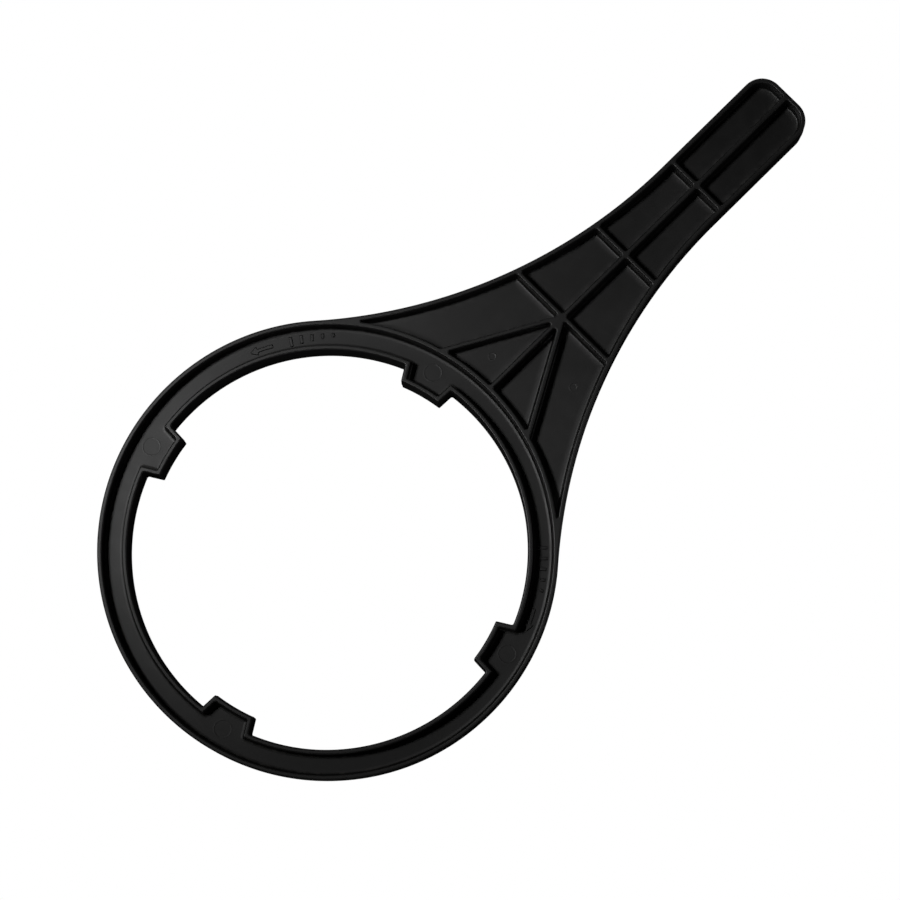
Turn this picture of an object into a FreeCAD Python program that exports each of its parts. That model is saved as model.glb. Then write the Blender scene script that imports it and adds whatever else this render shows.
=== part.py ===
import FreeCAD, Part
import math
import os

import Sketcher

# Ring spanner for the bowl of a large filter housing.
#
# The tool is one moulding: a ring with four inward driving lugs, a flared handle and a
# straight grip. Its section is an I: upright walls and ribs, as tall as the body, stand
# on both faces of a thin web that runs at mid height. The moulding is modelled as its
# named features, each a solid of its own, and they meet face to face.
#
# Frame: millimetres, origin at the ring's centre on the lower face, +X along the handle
# towards the grip's end, +Z up through the ring.

# Driving dimensions: alias, value, what it is. Angles are in degrees.
DIMENSIONS = [
    ("bore_diameter", 182.0, "hole that goes over the bowl, between the lugs"),
    ("ring_band_width", 14.0, "from the bore to the ring's outer face"),
    ("body_height", 20.0, "walls and ribs, rim to rim"),
    ("web_thickness", 3.0, "web at mid height"),
    ("edge_wall", 2.5, "walls along every outline"),
    ("rib_thickness", 2.3, "spine, star and cross ribs"),
    ("lug_depth", 7.8, "how far a lug stands into the bore"),
    ("lug_tip_width", 20.0, "lug across its tip"),
    ("lug_flank_angle", 17.0, "how far each flank leans from the lug's middle line"),
    ("lug_first_angle", 15.0, "first lug, counted from the handle"),
    ("handle_length", 192.8, "ring's outer face to the grip's end"),
    ("grip_width", 34.4, "grip across its straight part"),
    ("flare_radius", 248.0, "arc that runs the ring into the grip"),
    ("grip_corner_radius", 10.5, "corners of the grip's end"),
    ("star_angle", 29.0, "star rib to spine rib"),
    ("root_rib_share", 0.2379, "first cross rib, as a share of the handle's length"),
    ("middle_rib_share", 0.4489, "second cross rib, the same way"),
    ("grip_rib_share", 0.6879, "third cross rib, the same way"),
    ("mark_relief", 0.5, "how far the turning marks stand up from the web"),
    ("mark_band", 4.5, "turning marks, measured along the ring's radius"),
    ("mark_wall_gap", 2.6, "turning marks to the ring's outer wall"),
    ("mark_bar_width", 1.3, "one bar of a turning mark"),
    ("mark_bar_pitch", 2.85, "from one bar to the next, as an angle"),
    ("mark_first_bar_angle", 44.3, "bar nearest the handle"),
    ("arrow_start_angle", 60.8, "tail of the turning arrows"),
    ("arrow_sweep", 5.0, "length of an arrow's shaft, as an angle"),
    ("arrow_shaft_width", 1.5, "width of an arrow's shaft"),
    ("arrow_head_radius", 2.5, "circle round an arrow's head"),
]
SIZES = {alias: value for alias, value, meaning in DIMENSIONS}

# Sizes that follow from the driving ones, as expressions on the sheet.
BORE_RADIUS = "(Sizes.bore_diameter / 2)"
RING_RADIUS = "(Sizes.bore_diameter / 2 + Sizes.ring_band_width)"
CHANNEL_OUTER = f"({RING_RADIUS} - Sizes.edge_wall)"
CHANNEL_INNER = f"({BORE_RADIUS} + Sizes.edge_wall)"
LUG_TIP_RADIUS = f"({BORE_RADIUS} - Sizes.lug_depth)"
LUG_TIP_REACH = f"sqrt({LUG_TIP_RADIUS} * {LUG_TIP_RADIUS} - Sizes.lug_tip_width * Sizes.lug_tip_width / 4)"
# Shortest way from the ring's centre to the line of a lug's flank.
LUG_FLANK_DISTANCE = (f"({LUG_TIP_REACH} * sin(Sizes.lug_flank_angle)"
                      " - Sizes.lug_tip_width / 2 * cos(Sizes.lug_flank_angle))")
FLARE_REACH = f"({RING_RADIUS} + Sizes.flare_radius)"
FLARE_OFFSET = "(Sizes.grip_width / 2 + Sizes.flare_radius)"
# Cosine of the direction, seen from the ring's centre, in which the flare touches the ring.
FLARE_COSINE = f"(sqrt({FLARE_REACH} * {FLARE_REACH} - {FLARE_OFFSET} * {FLARE_OFFSET}) / {FLARE_REACH})"
HANDLE_END = f"({RING_RADIUS} + Sizes.handle_length)"
CORNER_START = f"({HANDLE_END} - Sizes.grip_corner_radius)"
WEB_BOTTOM = "((Sizes.body_height - Sizes.web_thickness) / 2)"
WEB_TOP = "((Sizes.body_height + Sizes.web_thickness) / 2)"
HALF_RIB = "(Sizes.rib_thickness / 2)"
MARK_BASE_RADIUS = f"({CHANNEL_OUTER} - Sizes.mark_wall_gap)"
MARK_MIDDLE_RADIUS = f"({MARK_BASE_RADIUS} - Sizes.mark_band / 2)"

CROSS_RIBS = [("cross_rib_root", "root_rib_share"),
              ("cross_rib_middle", "middle_rib_share"),
              ("cross_rib_grip", "grip_rib_share")]
SIDES = [("left", 1), ("right", -1)]
LUG_COUNT = 4
LUG_STEP = 360 / LUG_COUNT
BAR_COUNT = 5
LOWEST_BAR_SHARE = 0.36

START, END, CENTRE = 1, 2, 3      # a sketch element's points
ORIGIN = (-1, 1)                  # the sketch's own origin
HORIZONTAL_AXIS = -1

document = FreeCAD.newDocument("ring_spanner")
sheet = document.addObject("Spreadsheet::Sheet", "Sizes")
nodes = []


def fill_sheet():
    """Write each driving dimension in its own row and give the cell its alias."""
    for row, (alias, value, meaning) in enumerate(DIMENSIONS, start=1):
        sheet.set(f"A{row}", alias)
        sheet.set(f"B{row}", str(value))
        sheet.set(f"C{row}", meaning)
        sheet.setAlias(f"B{row}", alias)
    document.recompute()


class Plan:
    """Starting positions for the sketches, worked out from the driving dimensions."""

    def __init__(self):
        self.wall = SIZES["edge_wall"]
        self.ring = SIZES["bore_diameter"] / 2 + SIZES["ring_band_width"]
        self.flare = SIZES["flare_radius"]
        self.half_grip = SIZES["grip_width"] / 2
        self.corner = SIZES["grip_corner_radius"]
        self.end = self.ring + SIZES["handle_length"]
        self.flare_y = self.half_grip + self.flare
        self.flare_x = math.sqrt((self.ring + self.flare) ** 2 - self.flare_y ** 2)
        self.tangent_angle = math.atan2(self.flare_y, self.flare_x)

    def tangent_point(self, radius):
        """Where the flare's arc touches the ring's circle of this radius."""
        return (radius * math.cos(self.tangent_angle), radius * math.sin(self.tangent_angle))

    def fork(self):
        """Where the side wall's inner face leaves the ring's outer face."""
        reach = self.ring + self.flare
        inner = self.flare + self.wall
        along = (reach ** 2 + self.ring ** 2 - inner ** 2) / (2 * reach)
        across = math.sqrt(self.ring ** 2 - along ** 2)
        cosine, sine = math.cos(self.tangent_angle), math.sin(self.tangent_angle)
        return (along * cosine + across * sine, along * sine - across * cosine)

    def fork_outside(self):
        """The same place on the side wall's outer face."""
        fork_x, fork_y = self.fork()
        share = self.flare / (self.flare + self.wall)
        return (self.flare_x + (fork_x - self.flare_x) * share,
                self.flare_y + (fork_y - self.flare_y) * share)


class Outline:
    """A sketch on its body's XY plane, drawn in place and then tied to the sheet."""

    def __init__(self, body, name):
        self.sketch = body.newObject("Sketcher::SketchObject", name)
        plane = next(item for item in body.Origin.OriginFeatures if item.Role == "XY_Plane")
        self.sketch.AttachmentSupport = [(plane, "")]
        self.sketch.MapMode = "FlatFace"

    def line(self, start, end):
        """Draw a straight edge and return its number."""
        segment = Part.LineSegment(FreeCAD.Vector(*start, 0), FreeCAD.Vector(*end, 0))
        return self.sketch.addGeometry(segment, False)

    def arc(self, centre, start, end):
        """Draw an arc, counter-clockwise from start to end, and return its number."""
        radius = math.dist(centre, start)
        angles = [math.atan2(point[1] - centre[1], point[0] - centre[0]) for point in (start, end)]
        circle = Part.Circle(FreeCAD.Vector(*centre, 0), FreeCAD.Vector(0, 0, 1), radius)
        return self.sketch.addGeometry(Part.ArcOfCircle(circle, *angles), False)

    def circle(self, radius_value):
        """Draw a full circle round the sketch's origin and return its number."""
        circle = Part.Circle(FreeCAD.Vector(), FreeCAD.Vector(0, 0, 1), radius_value)
        number = self.sketch.addGeometry(circle, False)
        self.tie("Coincident", number, CENTRE, *ORIGIN)
        return number

    def tie(self, kind, *references):
        """Add a constraint that has no size."""
        self.sketch.addConstraint(Sketcher.Constraint(kind, *references))

    def size(self, label, expression, kind, *references):
        """Add a sized constraint and bind its value to the sheet."""
        value = self.measure(kind, references)
        number = self.sketch.addConstraint(Sketcher.Constraint(kind, *references, value))
        self.sketch.renameConstraint(number, label)
        self.sketch.setExpression("Constraints." + label, expression)

    def height(self, label, expression, sign, *place):
        """Set how far a point is above the middle line, or below it when sign is negative."""
        ordered = ORIGIN + place if sign > 0 else place + ORIGIN
        self.size(label, expression, "DistanceY", *ordered)

    def measure(self, kind, references):
        """Read a constraint's starting value off the drawn geometry."""
        if kind == "Radius":
            return self.sketch.Geometry[references[0]].Radius
        if kind == "Angle":
            return self.line_angle(references[1]) - self.line_angle(references[0])
        first = self.point(*references[:2])
        if len(references) == 3:
            segment = self.sketch.Geometry[references[2]]
            return first.distanceToLine(segment.StartPoint, segment.EndPoint - segment.StartPoint)
        second = self.point(*references[2:4])
        if kind == "DistanceX":
            return second.x - first.x
        if kind == "DistanceY":
            return second.y - first.y
        return first.distanceToPoint(second)

    def line_angle(self, number):
        """Direction of a drawn line, or of the horizontal axis, in radians."""
        if number == HORIZONTAL_AXIS:
            return 0.0
        segment = self.sketch.Geometry[number]
        step = segment.EndPoint - segment.StartPoint
        return math.atan2(step.y, step.x)

    def point(self, number, place):
        """A drawn point, or the sketch's origin."""
        if (number, place) == ORIGIN:
            return FreeCAD.Vector()
        return self.sketch.getPoint(number, place)


def new_body(name):
    """An empty body with its own label."""
    body = document.addObject("PartDesign::Body", name)
    body.Label = name
    return body


def pad(body, outline, height, bottom=None):
    """Raise an outline to a solid, and lift the body when its foot isn't at zero."""
    feature = body.newObject("PartDesign::Pad", body.Name + "_pad")
    feature.Profile = outline.sketch
    feature.setExpression("Length", height)
    if bottom:
        body.setExpression("Placement.Base.z", bottom)
    document.recompute()
    assert outline.sketch.FullyConstrained, outline.sketch.Name + " is not fully constrained"
    return feature


def keep(item, name):
    """Name a finished sub-part and put it on the list of nodes."""
    item.Label = name
    nodes.append(item)
    return item


def boolean(kind, name, base, tool):
    """A Part boolean of two objects."""
    feature = document.addObject("Part::" + kind, name)
    feature.Base = base
    feature.Tool = tool
    return feature


def box(name, length, width, height, corner, angle="0", pivot_x="0"):
    """A box with its own corner at corner, then turned about the upright at pivot_x."""
    feature = document.addObject("Part::Box", name)
    for size, expression in (("Length", length), ("Width", width), ("Height", height)):
        feature.setExpression(size, expression)
    along, across, bottom = corner
    turned_x = f"{pivot_x} + ({along}) * cos({angle}) - ({across}) * sin({angle})"
    turned_y = f"({along}) * sin({angle}) + ({across}) * cos({angle})"
    feature.setExpression("Placement.Base.x", turned_x)
    feature.setExpression("Placement.Base.y", turned_y)
    feature.setExpression("Placement.Base.z", bottom)
    feature.setExpression("Placement.Rotation.Angle", angle)
    return feature


def cylinder(name, radius, height, bottom="0", sweep="360", angle="0"):
    """A cylinder round the ring's axis, or a sector of one that starts at angle."""
    feature = document.addObject("Part::Cylinder", name)
    feature.setExpression("Radius", radius)
    feature.setExpression("Height", height)
    feature.setExpression("Angle", sweep)
    feature.setExpression("Placement.Base.z", bottom)
    feature.setExpression("Placement.Rotation.Angle", angle)
    return feature


def add_ring_outer_wall(plan):
    """The ring's outer wall, with the two solid horns where the side walls grow out of it."""
    name = "ring_outer_wall"
    body = new_body(name)
    outline = Outline(body, name + "_outline")
    touch_x, touch_y = plan.tangent_point(plan.ring)
    fork_x, fork_y = plan.fork()
    outside_x, outside_y = plan.fork_outside()
    back = outline.arc((0, 0), (touch_x, touch_y), (touch_x, -touch_y))
    front = outline.arc((0, 0), (fork_x, -fork_y), (fork_x, fork_y))
    channel = outline.circle(plan.ring - plan.wall)
    outline.tie("Coincident", back, CENTRE, *ORIGIN)
    outline.tie("Coincident", front, CENTRE, *ORIGIN)
    outline.tie("Equal", back, front)
    outline.size("ring_radius", RING_RADIUS, "Radius", back)
    outline.size("channel_radius", CHANNEL_OUTER, "Radius", channel)
    for side, sign in SIDES:
        horn_ends = [(touch_x, sign * touch_y), (outside_x, sign * outside_y)]
        horn = outline.arc((plan.flare_x, sign * plan.flare_y), *horn_ends[::sign])
        split = outline.line((fork_x, sign * fork_y), (outside_x, sign * outside_y))
        ring_end, split_end = (START, END)[::sign]
        outline.tie("Tangent", horn, ring_end, back, ring_end)
        outline.tie("Coincident", horn, split_end, split, END)
        outline.tie("Coincident", split, START, front, split_end)
        outline.tie("PointOnObject", horn, CENTRE, split)
        outline.size(side + "_flare", "Sizes.flare_radius", "Radius", horn)
        outline.height(side + "_offset", FLARE_OFFSET, sign, horn, CENTRE)
        outline.size(side + "_wall", "Sizes.edge_wall", "Distance", split, START, split, END)
    pad(body, outline, "Sizes.body_height")
    keep(body, name)


def add_side_wall(plan, side, sign):
    """One side wall of the handle: the flare's arc, then the grip's straight."""
    name = "side_wall_" + side
    body = new_body(name)
    outline = Outline(body, name + "_outline")
    fork_x, fork_y = plan.fork()
    outside_x, outside_y = plan.fork_outside()
    centre = (plan.flare_x, sign * plan.flare_y)
    corner_x = plan.end - plan.corner
    outer_y, inner_y = sign * plan.half_grip, sign * (plan.half_grip - plan.wall)
    outer_ends = [(outside_x, sign * outside_y), (plan.flare_x, outer_y)]
    inner_ends = [(fork_x, sign * fork_y), (plan.flare_x, inner_y)]
    ring_end, grip_end = (START, END)[::sign]
    outer_arc = outline.arc(centre, *outer_ends[::sign])
    inner_arc = outline.arc(centre, *inner_ends[::sign])
    outer_line = outline.line((plan.flare_x, outer_y), (corner_x, outer_y))
    inner_line = outline.line((plan.flare_x, inner_y), (corner_x, inner_y))
    split = outline.line(inner_ends[0], outer_ends[0])
    close = outline.line((corner_x, inner_y), (corner_x, outer_y))
    outline.tie("Coincident", outer_arc, CENTRE, inner_arc, CENTRE)
    outline.tie("Tangent", outer_arc, grip_end, outer_line, START)
    outline.tie("Tangent", inner_arc, grip_end, inner_line, START)
    outline.tie("Horizontal", outer_line)
    outline.tie("Horizontal", inner_line)
    outline.tie("Vertical", close)
    outline.tie("Coincident", split, START, inner_arc, ring_end)
    outline.tie("Coincident", split, END, outer_arc, ring_end)
    outline.tie("Coincident", close, START, inner_line, END)
    outline.tie("Coincident", close, END, outer_line, END)
    outline.tie("PointOnObject", outer_arc, CENTRE, split)
    outline.size("flare", "Sizes.flare_radius", "Radius", outer_arc)
    outline.size("flare_inside", "Sizes.flare_radius + Sizes.edge_wall", "Radius", inner_arc)
    outline.height("offset", FLARE_OFFSET, sign, outer_arc, CENTRE)
    outline.size("reach", FLARE_REACH, "Distance", *ORIGIN, outer_arc, CENTRE)
    outline.size("fork", RING_RADIUS, "Distance", *ORIGIN, split, START)
    outline.size("corner_start", CORNER_START, "DistanceX", *ORIGIN, close, START)
    pad(body, outline, "Sizes.body_height")
    keep(body, name)


def draw_grip_end(plan, outline, label, inset, inset_expression):
    """Draw the grip's rounded end at an inset from the outside: corner, flat, corner."""
    corner_x = plan.end - plan.corner
    corner_y = plan.half_grip - plan.corner
    half = plan.half_grip - inset
    far = plan.end - inset
    lower = outline.arc((corner_x, -corner_y), (corner_x, -half), (far, -corner_y))
    face = outline.line((far, -corner_y), (far, corner_y))
    upper = outline.arc((corner_x, corner_y), (far, corner_y), (corner_x, half))
    outline.tie("Tangent", lower, END, face, START)
    outline.tie("Tangent", face, END, upper, START)
    outline.tie("Vertical", face)
    outline.tie("Equal", lower, upper)
    outline.tie("Vertical", lower, START, lower, CENTRE)
    outline.tie("Vertical", upper, END, upper, CENTRE)
    outline.size(label + "_corner", f"Sizes.grip_corner_radius - {inset_expression}", "Radius", lower)
    outline.size(label + "_far", f"{HANDLE_END} - {inset_expression}", "DistanceX", *ORIGIN, face, START)
    half_width = f"Sizes.grip_width / 2 - {inset_expression}"
    outline.height(label + "_lower", half_width, -1, lower, START)
    outline.height(label + "_upper", half_width, 1, upper, END)
    return lower, upper


def add_grip_end_wall(plan):
    """The wall round the grip's end: two corners and the flat between them."""
    name = "grip_end_wall"
    body = new_body(name)
    outline = Outline(body, name + "_outline")
    outer_low, outer_high = draw_grip_end(plan, outline, "outer", 0.0, "0")
    inner_low, inner_high = draw_grip_end(plan, outline, "inner", plan.wall, "Sizes.edge_wall")
    corner_x = plan.end - plan.corner
    half = plan.half_grip
    low = outline.line((corner_x, -half), (corner_x, -half + plan.wall))
    high = outline.line((corner_x, half), (corner_x, half - plan.wall))
    outline.tie("Coincident", low, START, outer_low, START)
    outline.tie("Coincident", low, END, inner_low, START)
    outline.tie("Coincident", high, START, outer_high, END)
    outline.tie("Coincident", high, END, inner_high, END)
    pad(body, outline, "Sizes.body_height")
    keep(body, name)


def add_handle_core(plan, name, height, bottom):
    """Everything inside the handle's walls, cut back to the ring's outer face."""
    body = new_body(name + "_blank")
    outline = Outline(body, name + "_outline")
    touch_x, touch_y = plan.tangent_point(plan.ring - plan.wall)
    half = plan.half_grip - plan.wall
    corner_x = plan.end - plan.corner
    back = outline.line((touch_x, touch_y), (touch_x, -touch_y))
    low_arc = outline.arc((plan.flare_x, -plan.flare_y), (plan.flare_x, -half), (touch_x, -touch_y))
    low_line = outline.line((plan.flare_x, -half), (corner_x, -half))
    lower, upper = draw_grip_end(plan, outline, "end", plan.wall, "Sizes.edge_wall")
    high_line = outline.line((corner_x, half), (plan.flare_x, half))
    high_arc = outline.arc((plan.flare_x, plan.flare_y), (touch_x, touch_y), (plan.flare_x, half))
    outline.tie("Vertical", back)
    outline.tie("Coincident", back, START, high_arc, START)
    outline.tie("Coincident", back, END, low_arc, END)
    outline.tie("Tangent", low_arc, START, low_line, START)
    outline.tie("Tangent", high_arc, END, high_line, END)
    outline.tie("Coincident", low_line, END, lower, START)
    outline.tie("Coincident", high_line, START, upper, END)
    outline.tie("Equal", low_arc, high_arc)
    outline.size("flare_inside", "Sizes.flare_radius + Sizes.edge_wall", "Radius", low_arc)
    outline.size("low_reach", FLARE_REACH, "Distance", *ORIGIN, low_arc, CENTRE)
    outline.size("high_reach", FLARE_REACH, "Distance", *ORIGIN, high_arc, CENTRE)
    outline.height("low_offset", FLARE_OFFSET, -1, low_arc, CENTRE)
    outline.height("high_offset", FLARE_OFFSET, 1, high_arc, CENTRE)
    outline.size("back_place", f"{CHANNEL_OUTER} * {FLARE_COSINE}", "DistanceX", *ORIGIN, back, START)
    pad(body, outline, height, bottom)
    ring = cylinder(name + "_ring", RING_RADIUS, height, bottom)
    return boolean("Cut", name, body, ring)


def draw_lug(outline, inset, inset_expression):
    """Draw a lug about +X, at an inset from its tip and flanks; its root is the channel."""
    lean = math.radians(SIZES["lug_flank_angle"])
    bore = SIZES["bore_diameter"] / 2
    tip = bore - SIZES["lug_depth"]
    half_tip = SIZES["lug_tip_width"] / 2
    tip_reach = math.sqrt(tip ** 2 - half_tip ** 2)
    flank_distance = tip_reach * math.sin(lean) - half_tip * math.cos(lean) + inset

    def on_flank(radius):
        turn = lean - math.asin(flank_distance / radius)
        return (radius * math.cos(turn), radius * math.sin(turn))

    tip_x, tip_y = on_flank(tip + inset)
    root_x, root_y = on_flank(bore + SIZES["edge_wall"])
    upper = outline.line((tip_x, tip_y), (root_x, root_y))
    lower = outline.line((tip_x, -tip_y), (root_x, -root_y))
    tip_arc = outline.arc((0, 0), (tip_x, -tip_y), (tip_x, tip_y))
    root_arc = outline.arc((0, 0), (root_x, -root_y), (root_x, root_y))
    for arc, flank_end in ((tip_arc, START), (root_arc, END)):
        outline.tie("Coincident", arc, CENTRE, *ORIGIN)
        outline.tie("Coincident", arc, END, upper, flank_end)
        outline.tie("Coincident", arc, START, lower, flank_end)
        outline.tie("Symmetric", arc, START, arc, END, HORIZONTAL_AXIS)
    outline.size("tip_radius", f"{LUG_TIP_RADIUS} + {inset_expression}", "Radius", tip_arc)
    outline.size("root_radius", CHANNEL_INNER, "Radius", root_arc)
    outline.size("lean", "Sizes.lug_flank_angle", "Angle", HORIZONTAL_AXIS, upper)
    outline.size("flank_distance", f"{LUG_FLANK_DISTANCE} + {inset_expression}", "Distance", *ORIGIN, upper)


def add_lug_blank(name, step):
    """A lug as a full block, without the pockets."""
    body = new_body(name)
    outline = Outline(body, name + "_outline")
    draw_lug(outline, 0.0, "0")
    pad(body, outline, "Sizes.body_height")
    body.setExpression("Placement.Rotation.Angle", f"Sizes.lug_first_angle + {step * LUG_STEP}")
    return body


def add_lug(index):
    """A driving lug: its tip and flanks are walls, and the web closes the space inside."""
    name = f"drive_lug_{index + 1}"
    body = add_lug_blank(name, index)
    full = body.Shape.Volume
    for face, level, cuts_upwards in (("lower", "0", True), ("upper", "Sizes.body_height", False)):
        outline = Outline(body, f"{name}_{face}_outline")
        draw_lug(outline, SIZES["edge_wall"], "Sizes.edge_wall")
        outline.sketch.setExpression("AttachmentOffset.Base.z", level)
        pocket = body.newObject("PartDesign::Pocket", f"{name}_{face}_pocket")
        pocket.Profile = outline.sketch
        pocket.Reversed = cuts_upwards
        pocket.setExpression("Length", WEB_BOTTOM)
        document.recompute()
        assert body.Shape.Volume < full, f"{name} has no {face} pocket"
        full = body.Shape.Volume
    keep(body, name)


def add_bore_wall(index, bore):
    """The bore's wall from one lug to the next."""
    name = f"bore_wall_{index + 1}"
    quarter = cylinder(name + "_quarter", CHANNEL_INNER, "Sizes.body_height",
                       sweep=str(LUG_STEP), angle=f"Sizes.lug_first_angle + {index * LUG_STEP}")
    wall = boolean("Cut", name + "_ring", quarter, bore)
    wall = boolean("Cut", name + "_start", wall, add_lug_blank(name + "_first_lug", index))
    wall = boolean("Cut", name, wall, add_lug_blank(name + "_second_lug", index + 1))
    keep(wall, name)


def add_ring_web():
    """The web of the ring's channel."""
    disc = cylinder("ring_web_disc", CHANNEL_OUTER, "Sizes.web_thickness", WEB_BOTTOM)
    hole = cylinder("ring_web_hole", CHANNEL_INNER, "Sizes.body_height")
    keep(boolean("Cut", "ring_web", disc, hole), "ring_web")


def rib_place(share):
    """Where a cross rib's middle plane is, as an expression."""
    return f"({RING_RADIUS} + Sizes.handle_length * Sizes.{share})"


def add_ribs(core):
    """Spine, cross and star ribs, cut from the handle's core; returns the shared boxes."""
    reach = HANDLE_END
    spine_box = box("spine_box", reach, "Sizes.rib_thickness", "Sizes.body_height",
                    ("0", f"-{HALF_RIB}", "0"))
    keep(boolean("Common", "spine_rib", core, spine_box), "spine_rib")
    root_box = None
    for name, share in CROSS_RIBS:
        cross_box = box(name + "_box", "Sizes.rib_thickness", f"2 * {RING_RADIUS}",
                        "Sizes.body_height",
                        (f"{rib_place(share)} - {HALF_RIB}", f"-{RING_RADIUS}", "0"))
        root_box = root_box or cross_box
        band = boolean("Common", name + "_band", core, cross_box)
        keep(boolean("Cut", name, band, spine_box), name)
    apex = rib_place("root_rib_share")
    for side, sign in SIDES:
        name = "star_rib_" + side
        star_box = box(name + "_box", apex, "Sizes.rib_thickness", "Sizes.body_height",
                       ("0", f"-{HALF_RIB}", "0"), f"({sign} * (180 - Sizes.star_angle))", apex)
        band = boolean("Common", name + "_band", core, star_box)
        free = boolean("Cut", name + "_free", band, spine_box)
        keep(boolean("Cut", name, free, root_box), name)


def add_webs(core):
    """The webs that close the bays between the ribs, one for each bay and side."""
    apex = rib_place("root_rib_share")
    edges = ["0"]
    for name, share in CROSS_RIBS:
        edges += [f"{rib_place(share)} - {HALF_RIB}", f"{rib_place(share)} + {HALF_RIB}"]
    edges.append(HANDLE_END)
    bays = dict(zip(("root", "neck", "middle", "grip"), zip(edges[0::2], edges[1::2])))
    for side, sign in SIDES:
        across = HALF_RIB if sign > 0 else f"-{HALF_RIB} - {RING_RADIUS}"
        for bay, (near, far) in bays.items():
            name = f"web_{bay}_{side}"
            bay_box = box(name + "_box", f"{far} - ({near})", RING_RADIUS, "Sizes.body_height",
                          (near, across, "0"))
            web = boolean("Common", name, core, bay_box)
            if bay == "root":
                split_root_web(web, side, sign, apex)
            else:
                keep(web, name)


def split_root_web(web, side, sign, apex):
    """Part a root bay's web into the pieces outside and inside its star rib."""
    for part, direction in (("outer", -sign), ("inner", sign)):
        name = f"web_root_{part}_{side}"
        across = HALF_RIB if direction > 0 else f"-{HALF_RIB} - {RING_RADIUS}"
        region = box(name + "_box", f"3 * {RING_RADIUS}", RING_RADIUS, "Sizes.body_height",
                     (f"-{RING_RADIUS}", across, "0"),
                     f"({sign} * (180 - Sizes.star_angle))", apex)
        keep(boolean("Common", name, web, region), name)


def add_turning_mark(name, sign, growing):
    """A raised arrow with a scale of bars, on the upper face of the ring's web.

    The bars grow towards the arrow on the mark for tightening, and shrink towards it on
    the mark for loosening.
    """
    pieces = [add_arrow(name, sign)]
    for index in range(BAR_COUNT):
        rank = index if growing else BAR_COUNT - 1 - index
        share = LOWEST_BAR_SHARE + (1 - LOWEST_BAR_SHARE) * rank / (BAR_COUNT - 1)
        angle = f"({sign} * (Sizes.mark_first_bar_angle + {index} * Sizes.mark_bar_pitch))"
        pieces.append(box(f"{name}_bar_{index + 1}", f"Sizes.mark_band * {share}",
                          "Sizes.mark_bar_width", "Sizes.mark_relief",
                          (f"{MARK_BASE_RADIUS} - Sizes.mark_band * {share}",
                           "-Sizes.mark_bar_width / 2", WEB_TOP), angle))
    group = document.addObject("Part::Compound", name)
    group.Links = pieces
    keep(group, name)


def add_arrow(name, sign):
    """An arrow bent to the ring: a stretch of ring for its shaft, a triangle for its head."""
    tail = "Sizes.arrow_start_angle" if sign > 0 else "-Sizes.arrow_start_angle - Sizes.arrow_sweep"
    outer = cylinder(name + "_shaft_outer", f"{MARK_MIDDLE_RADIUS} + Sizes.arrow_shaft_width / 2",
                     "Sizes.mark_relief", WEB_TOP, "Sizes.arrow_sweep", tail)
    inner = cylinder(name + "_shaft_inner", f"{MARK_MIDDLE_RADIUS} - Sizes.arrow_shaft_width / 2",
                     "Sizes.body_height")
    shaft = boolean("Cut", name + "_shaft", outer, inner)
    head = document.addObject("Part::Prism", name + "_head")
    head.Polygon = 3
    head.setExpression("Circumradius", "Sizes.arrow_head_radius")
    head.setExpression("Height", "Sizes.mark_relief")
    turn = f"({sign} * (Sizes.arrow_start_angle + Sizes.arrow_sweep))"
    head.setExpression("Placement.Base.x", f"{MARK_MIDDLE_RADIUS} * cos({turn})")
    head.setExpression("Placement.Base.y", f"{MARK_MIDDLE_RADIUS} * sin({turn})")
    head.setExpression("Placement.Base.z", WEB_TOP)
    head.setExpression("Placement.Rotation.Angle", f"{turn} + {sign * 90}")
    return boolean("Fuse", name + "_arrow", shaft, head)


def check_and_write():
    """Stop on any failed object or broken shape, then write one file for each node."""
    document.recompute()
    for item in document.Objects:
        failed = [state for state in item.State if state in ("Invalid", "Error")]
        assert not failed, f"{item.Name} failed: {failed}"
    for node in nodes:
        shape = node.Shape
        assert not shape.isNull() and shape.isValid() and shape.Solids, node.Label + " has no solid"
    os.makedirs("parts", exist_ok=True)
    for node in nodes:
        node.Shape.exportStep(f"parts/{node.Label}.step")
        print(f"{node.Label:24s} solids {len(node.Shape.Solids)}  volume {node.Shape.Volume:10.1f}")


def main():
    """Build the whole tool."""
    fill_sheet()
    plan = Plan()
    add_ring_outer_wall(plan)
    add_ring_web()
    bore = cylinder("bore", BORE_RADIUS, "Sizes.body_height")
    for index in range(LUG_COUNT):
        add_lug(index)
        add_bore_wall(index, bore)
    for side, sign in SIDES:
        add_side_wall(plan, side, sign)
    add_grip_end_wall(plan)
    add_ribs(add_handle_core(plan, "rib_core", "Sizes.body_height", "0"))
    add_webs(add_handle_core(plan, "web_core", "Sizes.web_thickness", WEB_BOTTOM))
    add_turning_mark("tighten_mark", 1, growing=True)
    add_turning_mark("loosen_mark", -1, growing=False)
    check_and_write()


main()
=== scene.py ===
"""Looks of a moulded ring spanner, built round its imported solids.

The tool is one moulding. Its outside, its bore and its recesses are each a closed line of
straights and bends. A profile is carried along every line, which gives the rounded rims,
the leaning walls and the coves, and flat plates close what is left between the lines.
"""

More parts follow.
